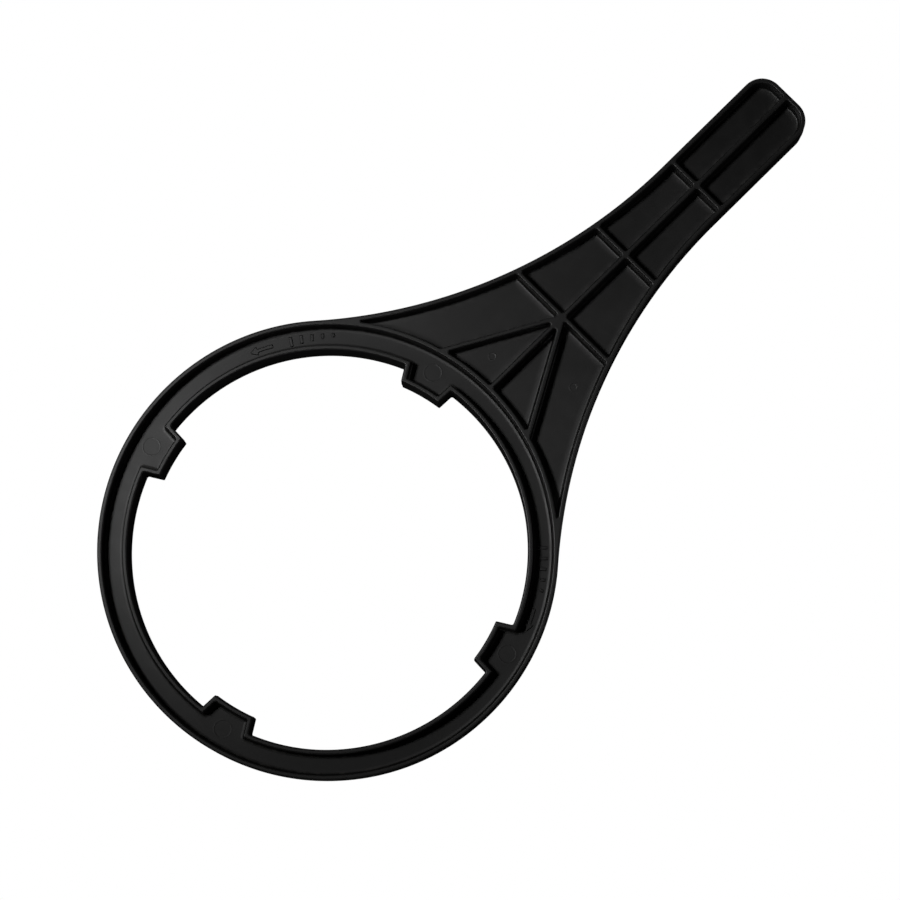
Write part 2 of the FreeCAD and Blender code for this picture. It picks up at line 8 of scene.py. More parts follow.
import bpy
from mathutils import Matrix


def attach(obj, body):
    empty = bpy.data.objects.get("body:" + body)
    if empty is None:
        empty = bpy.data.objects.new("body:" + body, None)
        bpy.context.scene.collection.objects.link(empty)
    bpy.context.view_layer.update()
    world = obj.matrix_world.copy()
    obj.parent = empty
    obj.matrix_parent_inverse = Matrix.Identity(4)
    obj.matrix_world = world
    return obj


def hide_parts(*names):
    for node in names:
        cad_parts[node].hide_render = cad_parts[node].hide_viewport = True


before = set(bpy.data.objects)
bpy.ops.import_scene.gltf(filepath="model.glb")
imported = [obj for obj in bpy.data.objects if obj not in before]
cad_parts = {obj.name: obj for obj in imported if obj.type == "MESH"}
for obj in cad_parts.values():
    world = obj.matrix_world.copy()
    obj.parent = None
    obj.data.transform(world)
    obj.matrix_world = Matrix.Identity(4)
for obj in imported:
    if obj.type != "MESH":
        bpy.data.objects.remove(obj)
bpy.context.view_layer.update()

import logging
import math
from dataclasses import dataclass, field
from enum import Enum

import bmesh
import bpy
import numpy as np
from mathutils import Matrix, Vector
from mathutils.geometry import delaunay_2d_cdt

MM = 0.001
LOG = logging.getLogger("ring_spanner")


class Face(Enum):
    """The two sides of the tool that its recesses open to."""

    UPPER = 1
    LOWER = -1


class Corner(Enum):
    """Whether open space fills less than half a turn round a corner, or more."""

    HOLLOW = 1
    NOSE = -1


class Zone(Enum):
    """Material slots of the moulding, in the order in which its mesh holds them."""

    WALL = 0
    RING_WEB = 1
    HANDLE_WEB = 2


# ---------------------------------------------------------------- sizes read off the solids


def node_points(name: str) -> np.ndarray:
    """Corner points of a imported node.

    Args:
        name: The node.

    Returns:
        Points in metres, shape (points, 3).
    """
    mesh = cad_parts[name].data
    flat = np.empty(len(mesh.vertices) * 3)
    mesh.vertices.foreach_get("co", flat)
    return flat.reshape(-1, 3)


def ray_to_circle(start: np.ndarray, direction: np.ndarray, radius: float) -> np.ndarray:
    """Where a ray leaves a circle about the origin.

    The reach t solves |start + t direction| = radius, and the larger root is taken.

    Args:
        start: A point of the ray.
        direction: Its unit direction.
        radius: The circle's radius.

    Returns:
        The point.
    """
    ahead = float(start @ direction)
    reach = -ahead + math.sqrt(ahead ** 2 - float(start @ start) + radius ** 2)
    return start + reach * direction


@dataclass(frozen=True)
class Lug:
    """One driving lug: its direction, the radius of its tip, and its flank.

    The flank is a line beside the lug's own axis: a point (along, across) and its lean.
    """

    angle: float
    tip_radius: float
    flank_along: float
    flank_across: float
    flank_lean: float

    @classmethod
    def from_node(cls, name: str) -> "Lug":
        """Read a lug off its solid.

        Its axis is half way between the lowest and highest polar angle of its points. The
        flank runs from the widest point on the tip's circle to the widest at the root.

        Args:
            name: The lug's node.

        Returns:
            The lug.
        """
        points = node_points(name)
        radii = np.hypot(points[:, 0], points[:, 1])
        middle = points[:, :2].mean(axis=0)
        rough = math.atan2(middle[1], middle[0])
        turned = np.angle(np.exp(1j * (np.arctan2(points[:, 1], points[:, 0]) - rough)))
        shift = (turned.min() + turned.max()) / 2
        across = np.abs(radii * np.sin(turned - shift))
        slack = 0.02 * MM
        tip_half = across[radii < radii.min() + slack].max()
        root_half = across[radii > radii.max() - slack].max()
        tip_along = math.sqrt(radii.min() ** 2 - tip_half ** 2)
        root_along = math.sqrt(radii.max() ** 2 - root_half ** 2)
        lean = math.atan2(root_half - tip_half, root_along - tip_along)
        return cls(rough + shift, float(radii.min()), tip_along, float(tip_half), lean)


@dataclass(frozen=True)
class ToolSizes:
    """Sizes of the tool in metres and radians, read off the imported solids."""

    ring_radius: float
    channel_outer: float
    channel_inner: float
    height: float
    web_bottom: float
    web_top: float
    lugs: tuple[Lug, ...]
    grip_end: float
    half_grip: float
    grip_corner: float
    half_rib: float
    cross_ribs: tuple[float, ...]
    star_angle: float
    flare_radius: float

    @property
    def wall(self) -> float:
        """Thickness of the walls along the outlines."""
        return self.ring_radius - self.channel_outer

    @property
    def bore_radius(self) -> float:
        """Radius of the hole between the lugs."""
        return self.channel_inner - self.wall

    @property
    def flare_centre(self) -> tuple[float, float]:
        """Centre of the left flare: one flare radius beyond the grip's side and the ring."""
        across = self.half_grip + self.flare_radius
        reach = self.ring_radius + self.flare_radius
        return math.sqrt(reach ** 2 - across ** 2), across

    @property
    def fork(self) -> tuple[float, float]:
        """Where the left side wall's inner face leaves the ring's outer face."""
        return fork_place(self.ring_radius, self.flare_radius, self.wall, self.half_grip)

    def wall_height(self, along: float) -> float:
        """How far the left side wall's inner face is from the middle plane at a place on X."""
        centre_x, centre_y = self.flare_centre
        radius = self.flare_radius + self.wall
        return centre_y - math.sqrt(radius ** 2 - (centre_x - along) ** 2)

    @classmethod
    def from_frame(cls) -> "ToolSizes":
        """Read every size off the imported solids.

        Returns:
            The sizes.
        """
        ring = node_points("ring_outer_wall")
        web = node_points("ring_web")
        web_radii = np.hypot(web[:, 0], web[:, 1])
        grip = node_points("grip_end_wall")
        ribs = [node_points(f"cross_rib_{place}") for place in ("root", "middle", "grip")]
        far_side = ring[ring[:, 0] < 0]
        ring_radius = float(np.hypot(far_side[:, 0], far_side[:, 1]).max())
        half_rib = float(node_points("spine_rib")[:, 1].max())
        half_grip = float(grip[:, 1].max())
        cross_ribs = tuple(float(rib[:, 0].min() + rib[:, 0].max()) / 2 for rib in ribs)
        wall = ring_radius - float(web_radii.max())
        return cls(
            ring_radius=ring_radius,
            channel_outer=float(web_radii.max()),
            channel_inner=float(web_radii.min()),
            height=float(ring[:, 2].max()),
            web_bottom=float(web[:, 2].min()),
            web_top=float(web[:, 2].max()),
            lugs=tuple(Lug.from_node(f"drive_lug_{number}") for number in range(1, 5)),
            grip_end=float(grip[:, 0].max()),
            half_grip=half_grip,
            grip_corner=float(np.ptp(grip[:, 0])),
            half_rib=half_rib,
            cross_ribs=cross_ribs,
            star_angle=read_star_angle(ring_radius, cross_ribs[0], half_rib),
            flare_radius=read_flare_radius(ring_radius, wall, half_grip),
        )


def read_star_angle(ring_radius: float, apex: float, half_rib: float) -> float:
    """Angle between a star rib and the spine.

    The rib's far corner lies on the ring's circle, half a rib's thickness above a line
    from the apex. The angle is that corner's direction less the angle of the half rib.

    Args:
        ring_radius: Radius of the ring's outer face.
        apex: Where the star ribs' middle planes meet, along X.
        half_rib: Half a rib's thickness.

    Returns:
        The angle in radians.
    """
    across = float(node_points("star_rib_left")[:, 1].max())
    back = apex - math.sqrt(ring_radius ** 2 - across ** 2)
    return math.atan2(across, back) - math.asin(half_rib / math.hypot(across, back))


def fork_place(ring_radius: float, flare_radius: float, wall: float,
               half_grip: float) -> tuple[float, float]:
    """Where the ring's circle crosses the circle of the left side wall's inner face.

    The crossing is (R^2 - r^2 + D^2) / 2D along the line between the two centres, and as
    far to its right as keeps it on the ring's circle.

    Args:
        ring_radius: R, the ring's outer radius.
        flare_radius: Radius of the flare's outer face; r is one wall more.
        wall: Thickness of the side wall.
        half_grip: Half the grip's width.

    Returns:
        The crossing, (x, y).
    """
    reach = ring_radius + flare_radius
    along = (reach ** 2 + ring_radius ** 2 - (flare_radius + wall) ** 2) / (2 * reach)
    across = math.sqrt(ring_radius ** 2 - along ** 2)
    sine = (half_grip + flare_radius) / reach
    cosine = math.sqrt(1 - sine ** 2)
    return along * cosine + across * sine, along * sine - across * cosine


def read_flare_radius(ring_radius: float, wall: float, half_grip: float) -> float:
    """Radius of the flare's arc, from how far out the side wall starts.

    The side wall starts beside the fork, straight across the wall. That start moves
    out steadily as the radius grows, so halving an interval finds the radius.

    Args:
        ring_radius: Radius of the ring's outer face.
        wall: Thickness of the side wall.
        half_grip: Half the grip's width.

    Returns:
        The radius in metres.
    """
    target = float(node_points("side_wall_left")[:, 1].max())
    low, high = ring_radius, 5 * ring_radius
    for _ in range(50):
        radius = (low + high) / 2
        centre_y = half_grip + radius
        fork_y = fork_place(ring_radius, radius, wall, half_grip)[1]
        start_y = centre_y + (fork_y - centre_y) * radius / (radius + wall)
        low, high = (radius, high) if start_y < target else (low, radius)
    return radius


# ---------------------------------------------------------------- closed lines


@dataclass(frozen=True)
class Straight:
    """A straight edge of an outline. Open space is on the side that inward points to."""

    anchor: np.ndarray
    inward: np.ndarray

    def depth(self, points: np.ndarray) -> np.ndarray:
        """How far points are from the edge: their way from the anchor, along inward."""
        return (points - self.anchor) @ self.inward

    def slope(self, points: np.ndarray) -> np.ndarray:
        """Direction in which the depth grows, the same everywhere."""
        return np.broadcast_to(self.inward, points.shape)

    def between(self, start: np.ndarray, end: np.ndarray, shares: np.ndarray) -> np.ndarray:
        """Points at shares of the straight way from start to end."""
        return start[:, None] + (end - start)[:, None] * shares[None, :, None]


@dataclass(frozen=True)
class Bend:
    """An arc of an outline. side is 1 if open space is inside its circle, else -1."""

    centre: np.ndarray
    radius: float
    side: int

    def depth(self, points: np.ndarray) -> np.ndarray:
        """How far points are from the arc: radius less distance, times side."""
        return self.side * (self.radius - np.linalg.norm(points - self.centre, axis=-1))

    def slope(self, points: np.ndarray) -> np.ndarray:
        """Direction in which the depth grows: towards the centre, or away from it."""
        arm = points - self.centre
        return -self.side * arm / np.linalg.norm(arm, axis=-1, keepdims=True)

    def between(self, start: np.ndarray, end: np.ndarray, shares: np.ndarray) -> np.ndarray:
        """Points at shares of the turn about the centre from start to end."""
        return turn_between(np.broadcast_to(self.centre, start.shape), start, end, shares)


def turn_between(centres: np.ndarray, start: np.ndarray, end: np.ndarray,
                 shares: np.ndarray) -> np.ndarray:
    """Points on arcs from start to end, the short way round.

    Each point is the centre plus the radius times the cosine and sine of an angle that
    runs evenly from the start's direction to the end's.

    Args:
        centres: Arc centres, shape (levels, 2).
        start: Arc starts, the same shape.
        end: Arc ends, the same shape.
        shares: Shares of the way, shape (points,).

    Returns:
        Points of shape (levels, points, 2).
    """
    first, last = start - centres, end - centres
    begin = np.arctan2(first[:, 1], first[:, 0])
    sweep = np.angle(np.exp(1j * (np.arctan2(last[:, 1], last[:, 0]) - begin)))
    angles = begin[:, None] + sweep[:, None] * shares[None, :]
    radii = np.linalg.norm(first, axis=1)[:, None]
    arms = np.stack([radii * np.cos(angles), radii * np.sin(angles)], axis=-1)
    return centres[:, None] + arms


@dataclass(frozen=True)
class Turn:
    """The corner at an edge's end: a point near it, its kind and its radius in plan."""

    near: np.ndarray
    kind: Corner
    radius: float


@dataclass
class CorneredLine:
    """A closed line of edges that meet at rounded corners; turns[i] ends edges[i]."""

    edges: list[Straight | Bend]
    turns: list[Turn]
    step: float = 2.0 * MM
    run_in: float = 0.35 * MM
    longest_lead: float = 0.25
    corner_steps: int = 7
    newton_steps: int = 30
    least_radius: float = 0.2 * MM

    def rings(self, offsets: np.ndarray) -> np.ndarray:
        """The line moved into open space by each offset.

        Args:
            offsets: Offsets in metres, positive into open space.

        Returns:
            Points of shape (offsets, points, 2).
        """
        fillets = [self.fillet(index, offsets) for index in range(len(self.edges))]
        stretches = []
        for index, edge in enumerate(self.edges):
            centre, begin, end = fillets[index]
            start = fillets[index - 1][2]
            length = float(np.linalg.norm(begin[0] - start[0]))
            lead = min(self.longest_lead, self.run_in / length)
            inner = np.linspace(lead, 1 - lead, max(2, math.ceil(length / self.step)))
            stretches.append(edge.between(start, begin, np.concatenate([[0.0], inner])))
            shares = np.arange(self.corner_steps) / self.corner_steps
            stretches.append(turn_between(centre, begin, end, shares))
        return np.concatenate(stretches, axis=1)

    def fillet(self, index: int, offsets: np.ndarray) -> tuple[np.ndarray, np.ndarray, np.ndarray]:
        """Centre, start and end of a corner's arc at each offset.

        The centre is as deep beyond both edges as the offset and the arc's radius ask for:
        the radius shrinks with the offset in a hollow and grows with it round a nose.
        Newton's method on the two depths finds it.

        Args:
            index: The corner.
            offsets: Offsets in metres.

        Returns:
            Three arrays of shape (offsets, 2).
        """
        before, after = self.edges[index], self.edges[(index + 1) % len(self.edges)]
        turn = self.turns[index]
        kind = turn.kind.value
        radii = np.maximum(turn.radius - kind * offsets, self.least_radius)
        goal = offsets + kind * radii
        centre = np.tile(turn.near, (len(offsets), 1))
        for _ in range(self.newton_steps):
            gap = np.stack([before.depth(centre) - goal, after.depth(centre) - goal], axis=-1)
            slopes = np.stack([before.slope(centre), after.slope(centre)], axis=1)
            centre = centre - np.linalg.solve(slopes, gap[..., None])[..., 0]
        reach = (kind * radii)[:, None]
        start = centre - reach * before.slope(centre)
        return centre, start, centre - reach * after.slope(centre)


@dataclass
class SmoothLine:
    """A closed line with no corners, as points and directions into open space."""

    points: np.ndarray
    inward: np.ndarray

    def rings(self, offsets: np.ndarray) -> np.ndarray:
        """The line moved into open space: each point plus its direction times the offset."""
        return self.points[None] + self.inward[None] * np.asarray(offsets)[:, None, None]


@dataclass(frozen=True)
class Sweep:
    """An arc of a smooth line; outward is 1 if the tool is inside its circle, else -1."""

    centre: tuple[float, float]
    radius: float
    begin: float
    end: float
    outward: int

    def arms(self, angles: np.ndarray) -> np.ndarray:
        """Unit directions from the centre: cosine and sine of each angle."""
        return np.stack([np.cos(angles), np.sin(angles)], axis=-1)


def smooth_line(sweeps: list[Sweep], step: float) -> SmoothLine:
    """A closed line of arcs, each tangent to the next or to the straight between them.

    Args:
        sweeps: The arcs in order.
        step: The longest distance between points.

    Returns:
        The line, with open space outside the tool.
    """
    points, inward = [], []
    for sweep, following in zip(sweeps, sweeps[1:] + sweeps[:1]):
        turned = sweep.end - sweep.begin
        count = math.ceil(abs(turned) * max(sweep.radius / step, 1 / math.radians(5)))
        arms = sweep.arms(sweep.begin + turned * np.arange(count) / count)
        last_arm = sweep.arms(np.array([sweep.end]))
        last = np.array(sweep.centre) + sweep.radius * last_arm
        first_arm = following.arms(np.array([following.begin]))
        gap = np.array(following.centre) + following.radius * first_arm - last
        steps = max(0, math.ceil(np.linalg.norm(gap) / step - 1e-6))
        bridge = last + gap * np.arange(steps)[:, None] / max(1, steps)
        points += [np.array(sweep.centre) + sweep.radius * arms, bridge]
        inward += [sweep.outward * arms, np.repeat(sweep.outward * last_arm, steps, axis=0)]
    return SmoothLine(np.concatenate(points), np.concatenate(inward))


def round_line(centre: tuple[float, float], radius: float, side: int, count: int) -> SmoothLine:
    """A circle.

    Args:
        centre: Its centre.
        radius: Its radius.
        side: 1 if open space is inside it, else -1.
        count: How many points it gets.

    Returns:
        The line.
    """
    angles = np.arange(count) * 2 * np.pi / count
    arms = np.stack([np.cos(angles), np.sin(angles)], axis=-1)
    return SmoothLine(np.array(centre) + radius * arms, -side * arms)


# ---------------------------------------------------------------- profiles and the shell


@dataclass(frozen=True)
class Profile:
    """A section to carry along a line: offsets into open space against heights.

    rubbed and dusty say from 0 to 1 how worn and how dusty each level is, and floor_from
    is the first level whose band belongs to the web.
    """

    offsets: np.ndarray
    heights: np.ndarray
    rubbed: np.ndarray
    dusty: np.ndarray
    floor_from: int

    def turned_over(self, height: float) -> "Profile":
        """The same section for the lower face: every height taken from the tool's own."""
        return Profile(self.offsets, height - self.heights, self.rubbed, self.dusty,
                       self.floor_from)


@dataclass
class Shell:
    """One closed surface under construction: points, faces and the zones of its faces."""

    points: list[np.ndarray] = field(default_factory=list)
    rubbed: list[np.ndarray] = field(default_factory=list)
    dusty: list[np.ndarray] = field(default_factory=list)
    faces: list[list[int]] = field(default_factory=list)
    zones: list[int] = field(default_factory=list)
    count: int = 0

    def carry(self, line: CorneredLine | SmoothLine, profile: Profile,
              wall: Zone, floor: Zone) -> np.ndarray:
        """Carry a profile along a closed line.

        Point (i, j) is the line's j-th point moved by the i-th offset, at the i-th height.

        Args:
            line: The line.
            profile: The profile.
            wall: Zone of the bands before the profile's floor.
            floor: Zone of the rest.

        Returns:
            Indices of the points, shape (levels, points).
        """
        plan = line.rings(profile.offsets)
        levels, around = plan.shape[:2]
        heights = np.repeat(profile.heights[:, None], around, axis=1)
        self.points.append(np.dstack([plan, heights]).reshape(-1, 3))
        self.rubbed.append(np.repeat(profile.rubbed, around))
        self.dusty.append(np.repeat(profile.dusty, around))
        index = self.count + np.arange(levels * around).reshape(levels, around)
        self.count += levels * around
        ahead = np.roll(index, -1, axis=1)
        quads = np.stack([index[:-1], ahead[:-1], ahead[1:], index[1:]], axis=-1)
        self.faces += quads.reshape(-1, 4).tolist()
        bands = np.where(np.arange(levels - 1) < profile.floor_from, wall.value, floor.value)
        self.zones += np.repeat(bands, around).tolist()
        return index

    def plate(self, loops: list[np.ndarray], zone: Zone) -> None:
        """Close flat space between loops with triangles.

        A constrained Delaunay triangulation of all loops is made in plan. A triangle is
        kept where an odd number of loops goes round its centre.

        Args:
            loops: Indices of each closed loop.
            zone: Zone of the triangles.
        """
        index = np.concatenate(loops)
        plan = (np.concatenate(self.points)[index, :2] / MM).astype(np.float32).astype(float)
        starts = np.cumsum([0] + [len(loop) for loop in loops[:-1]])
        edges = np.concatenate([
            start + np.stack([np.arange(len(loop)), np.roll(np.arange(len(loop)), -1)], axis=1)
            for start, loop in zip(starts, loops)])
        verts, _, triangles, origins, _, _ = delaunay_2d_cdt(
            [Vector(point) for point in plan.tolist()], edges.tolist(), [], 0, 1e-6)
        if len(verts) != len(plan):
            raise ValueError("two loops of a plate touch or cross")
        source = np.array([origin[0] for origin in origins])
        triangles = source[np.array(triangles)]
        inside = crossings(plan[triangles].mean(axis=1), plan[edges[:, 0]], plan[edges[:, 1]])
        kept = index[triangles[inside % 2 == 1]]
        self.faces += kept.tolist()
        self.zones += [zone.value] * len(kept)

    def build(self, name: str, materials: list[bpy.types.Material]) -> bpy.types.Object:
        """Make the object, with its faces outward and its wear and dust as attributes.

        Args:
            name: The object's name.
            materials: One material for each zone that the faces name.

        Returns:
            The object, at the origin.
        """
        mesh = bpy.data.meshes.new(name)
        mesh.from_pydata(np.concatenate(self.points).tolist(), [], self.faces)
        mesh.polygons.foreach_set("material_index", self.zones)
        mesh.polygons.foreach_set("use_smooth", [True] * len(self.zones))
        for label, parts in (("rubbed", self.rubbed), ("dusty", self.dusty)):
            attribute = mesh.attributes.new(label, "FLOAT", "POINT")
            attribute.data.foreach_set("value", np.concatenate(parts).astype(np.float32))
        solid = bmesh.new()
        solid.from_mesh(mesh)
        bmesh.ops.recalc_face_normals(solid, faces=solid.faces)
        open_edges = sum(len(edge.link_faces) != 2 for edge in solid.edges)
        solid.to_mesh(mesh)
        solid.free()
        if open_edges:
            raise ValueError(f"{name} has {open_edges} edges without two faces")
        for material in materials:
            mesh.materials.append(material)
        mesh.update()
        piece = bpy.data.objects.new(name, mesh)
        bpy.context.scene.collection.objects.link(piece)
        return piece


def crossings(points: np.ndarray, starts: np.ndarray, ends: np.ndarray) -> np.ndarray:
    """How many edges a ray from each point towards +X crosses.

    An edge is crossed where its ends lie on different sides of the point's level and the
    edge at that level is beyond the point.

    Args:
        points: Points, shape (points, 2).
        starts: Starts of the edges, shape (edges, 2).
        ends: Their ends.

    Returns:
        Counts, shape (points,).
    """
    level = points[:, 1, None]
    spans = (starts[None, :, 1] > level) != (ends[None, :, 1] > level)
    rise = ends[:, 1] - starts[:, 1]
    rise = np.where(rise == 0, 1, rise)
    share = (level - starts[None, :, 1]) / rise[None]
    place = starts[None, :, 0] + share * (ends[:, 0] - starts[:, 0])[None]
    return (spans & (place > points[:, 0, None])).sum(axis=1)


# ---------------------------------------------------------------- the moulding


@dataclass(frozen=True)
class MouldForm:
    """How the moulding's edges are formed, in metres and degrees."""

    draft: float = 2.0
    pocket_rim: float = 0.6 * MM
    outer_rim: float = 0.75 * MM
    bore_rim: float = 0.75 * MM
    cove: float = 0.95 * MM
    land_margin: float = 0.12 * MM
    dish_rise: float = 0.1 * MM
    dish_steps: int = 6
    plan_corner: float = 0.75 * MM
    fork_corner: float = 0.3 * MM
    nose_corner: float = 0.7 * MM
    parting_ridge: float = 0.05 * MM
    rim_steps: int = 5
    cove_steps: int = 6
    land_wear: float = 0.3
    rim_start_wear: tuple[float, float] = (0.5, 1.0)
    parting_wear: float = 0.5
    cove_dust: float = 0.35
    flank_levels: tuple[float, ...] = (2.0 * MM, 0.45 * MM, 0.12 * MM)

    def recess(self, top: float, floor: float, dish: float) -> Profile:
        """Section of a recess: land, rim, leaning wall, cove, floor.

        The rim is a quarter circle from the land over into the wall. The wall leans by
        the draft about its middle height. The cove is a quarter circle into the floor,
        which beside it still rises by the dish's rise times (1 - share of its width)^2.

        Args:
            top: Height of the land.
            floor: Height of the floor.
            dish: Width of the stretch of floor that rises to the cove.

        Returns:
            The profile, from the land down.
        """
        lean = math.tan(math.radians(self.draft))
        middle = (top + floor) / 2
        rim_z, cove_z = top - self.pocket_rim, floor + self.cove
        rim_d = lean * (middle - rim_z) - self.pocket_rim
        cove_d = lean * (middle - cove_z) + self.cove
        over = np.linspace(0, np.pi / 2, self.rim_steps + 1)
        under = np.linspace(0, np.pi / 2, self.cove_steps + 1)
        share = np.arange(1, self.dish_steps + 1) / self.dish_steps
        offsets = np.concatenate([
            [rim_d - self.land_margin], rim_d + self.pocket_rim * np.sin(over),
            cove_d - self.cove * np.cos(under), cove_d + dish * share])
        lift = self.dish_rise * np.concatenate([np.ones(len(under)), (1 - share) ** 2])
        down = np.concatenate([cove_z - self.cove * np.sin(under), np.full(len(share), floor)])
        heights = np.concatenate([[top], rim_z + self.pocket_rim * np.cos(over), down + lift])
        rubbed = np.concatenate([[self.land_wear], np.sin(2 * over), 0 * under, 0 * share])
        rubbed[1:3] = self.rim_start_wear
        settled = self.cove_dust + (1 - self.cove_dust) * np.sin(under)
        dusty = np.concatenate([[0], 0 * over, settled, (1 - share) ** 2])
        return Profile(offsets, heights, rubbed, dusty, 1 + len(over) + len(under) - 2)

    def skirt(self, height: float, rim: float) -> Profile:
        """Section of a wall that is open on its whole height, with both its rims.

        It leans in by the draft from the parting line to each rim, has a fine ridge at
        the parting line, and turns over each rim by a quarter circle.

        Args:
            height: Height of the wall.
            rim: Radius of the rims.

        Returns:
            The profile, from the upper land down to the lower one.
        """
        lean = math.tan(math.radians(self.draft / 2))
        over = np.linspace(0, np.pi / 2, self.rim_steps + 2)
        edge = -lean * (height / 2 - rim)
        upper_d = np.concatenate([[-self.land_margin], rim * np.sin(over)]) + edge - rim
        upper_z = height - rim + np.concatenate([[rim], rim * np.cos(over)])
        flank_z = height / 2 + np.array(self.flank_levels)
        flank_d = -lean * (flank_z - height / 2)
        ridge_d, ridge_z = np.array([self.parting_ridge]), np.array([height / 2])
        offsets = np.concatenate([upper_d, flank_d, ridge_d, flank_d[::-1], upper_d[::-1]])
        half_z = np.concatenate([upper_z, flank_z])
        heights = np.concatenate([half_z, ridge_z, height - half_z[::-1]])
        worn = np.concatenate([[self.land_wear], np.sin(2 * over), 0 * flank_z])
        worn[1:3] = self.rim_start_wear
        rubbed = np.concatenate([worn, [self.parting_wear], worn[::-1]])
        return Profile(offsets, heights, rubbed, 0 * rubbed, len(heights))


@dataclass(frozen=True)
class PinMark:
    """The round witness of an ejector pin on a floor of the upper face."""

    x: float
    y: float
    radius: float
    depth: float = 0.022 * MM
    ridge: float = 0.012 * MM
    ridge_width: float = 0.28 * MM

    def profile(self, floor: float) -> Profile:
        """Section from the floor outside the mark over a fine ridge down into it.

        The ridge is half a sine wave across its width, and the wave after it goes down
        to the mark's own flat.

        Args:
            floor: Height of the floor.

        Returns:
            The profile, whose offsets are counted inwards from the mark's circle.
        """
        share = np.linspace(0, 1, 6)
        rise = self.ridge * np.sin(np.pi * share[:-1])
        fall = -self.depth * np.sin(np.pi / 2 * share)
        offsets = np.concatenate([
            [-self.ridge_width], self.ridge_width * share[:-1],
            self.ridge_width * (1 + share), [2.6 * self.ridge_width]])
        heights = floor + np.concatenate([[0], rise, fall, [-self.depth]])
        rubbed = np.concatenate([[0], 0.8 * np.sin(np.pi * share[:-1]), 0 * share, [0]])
        return Profile(offsets, heights, rubbed, 0 * rubbed, 0)


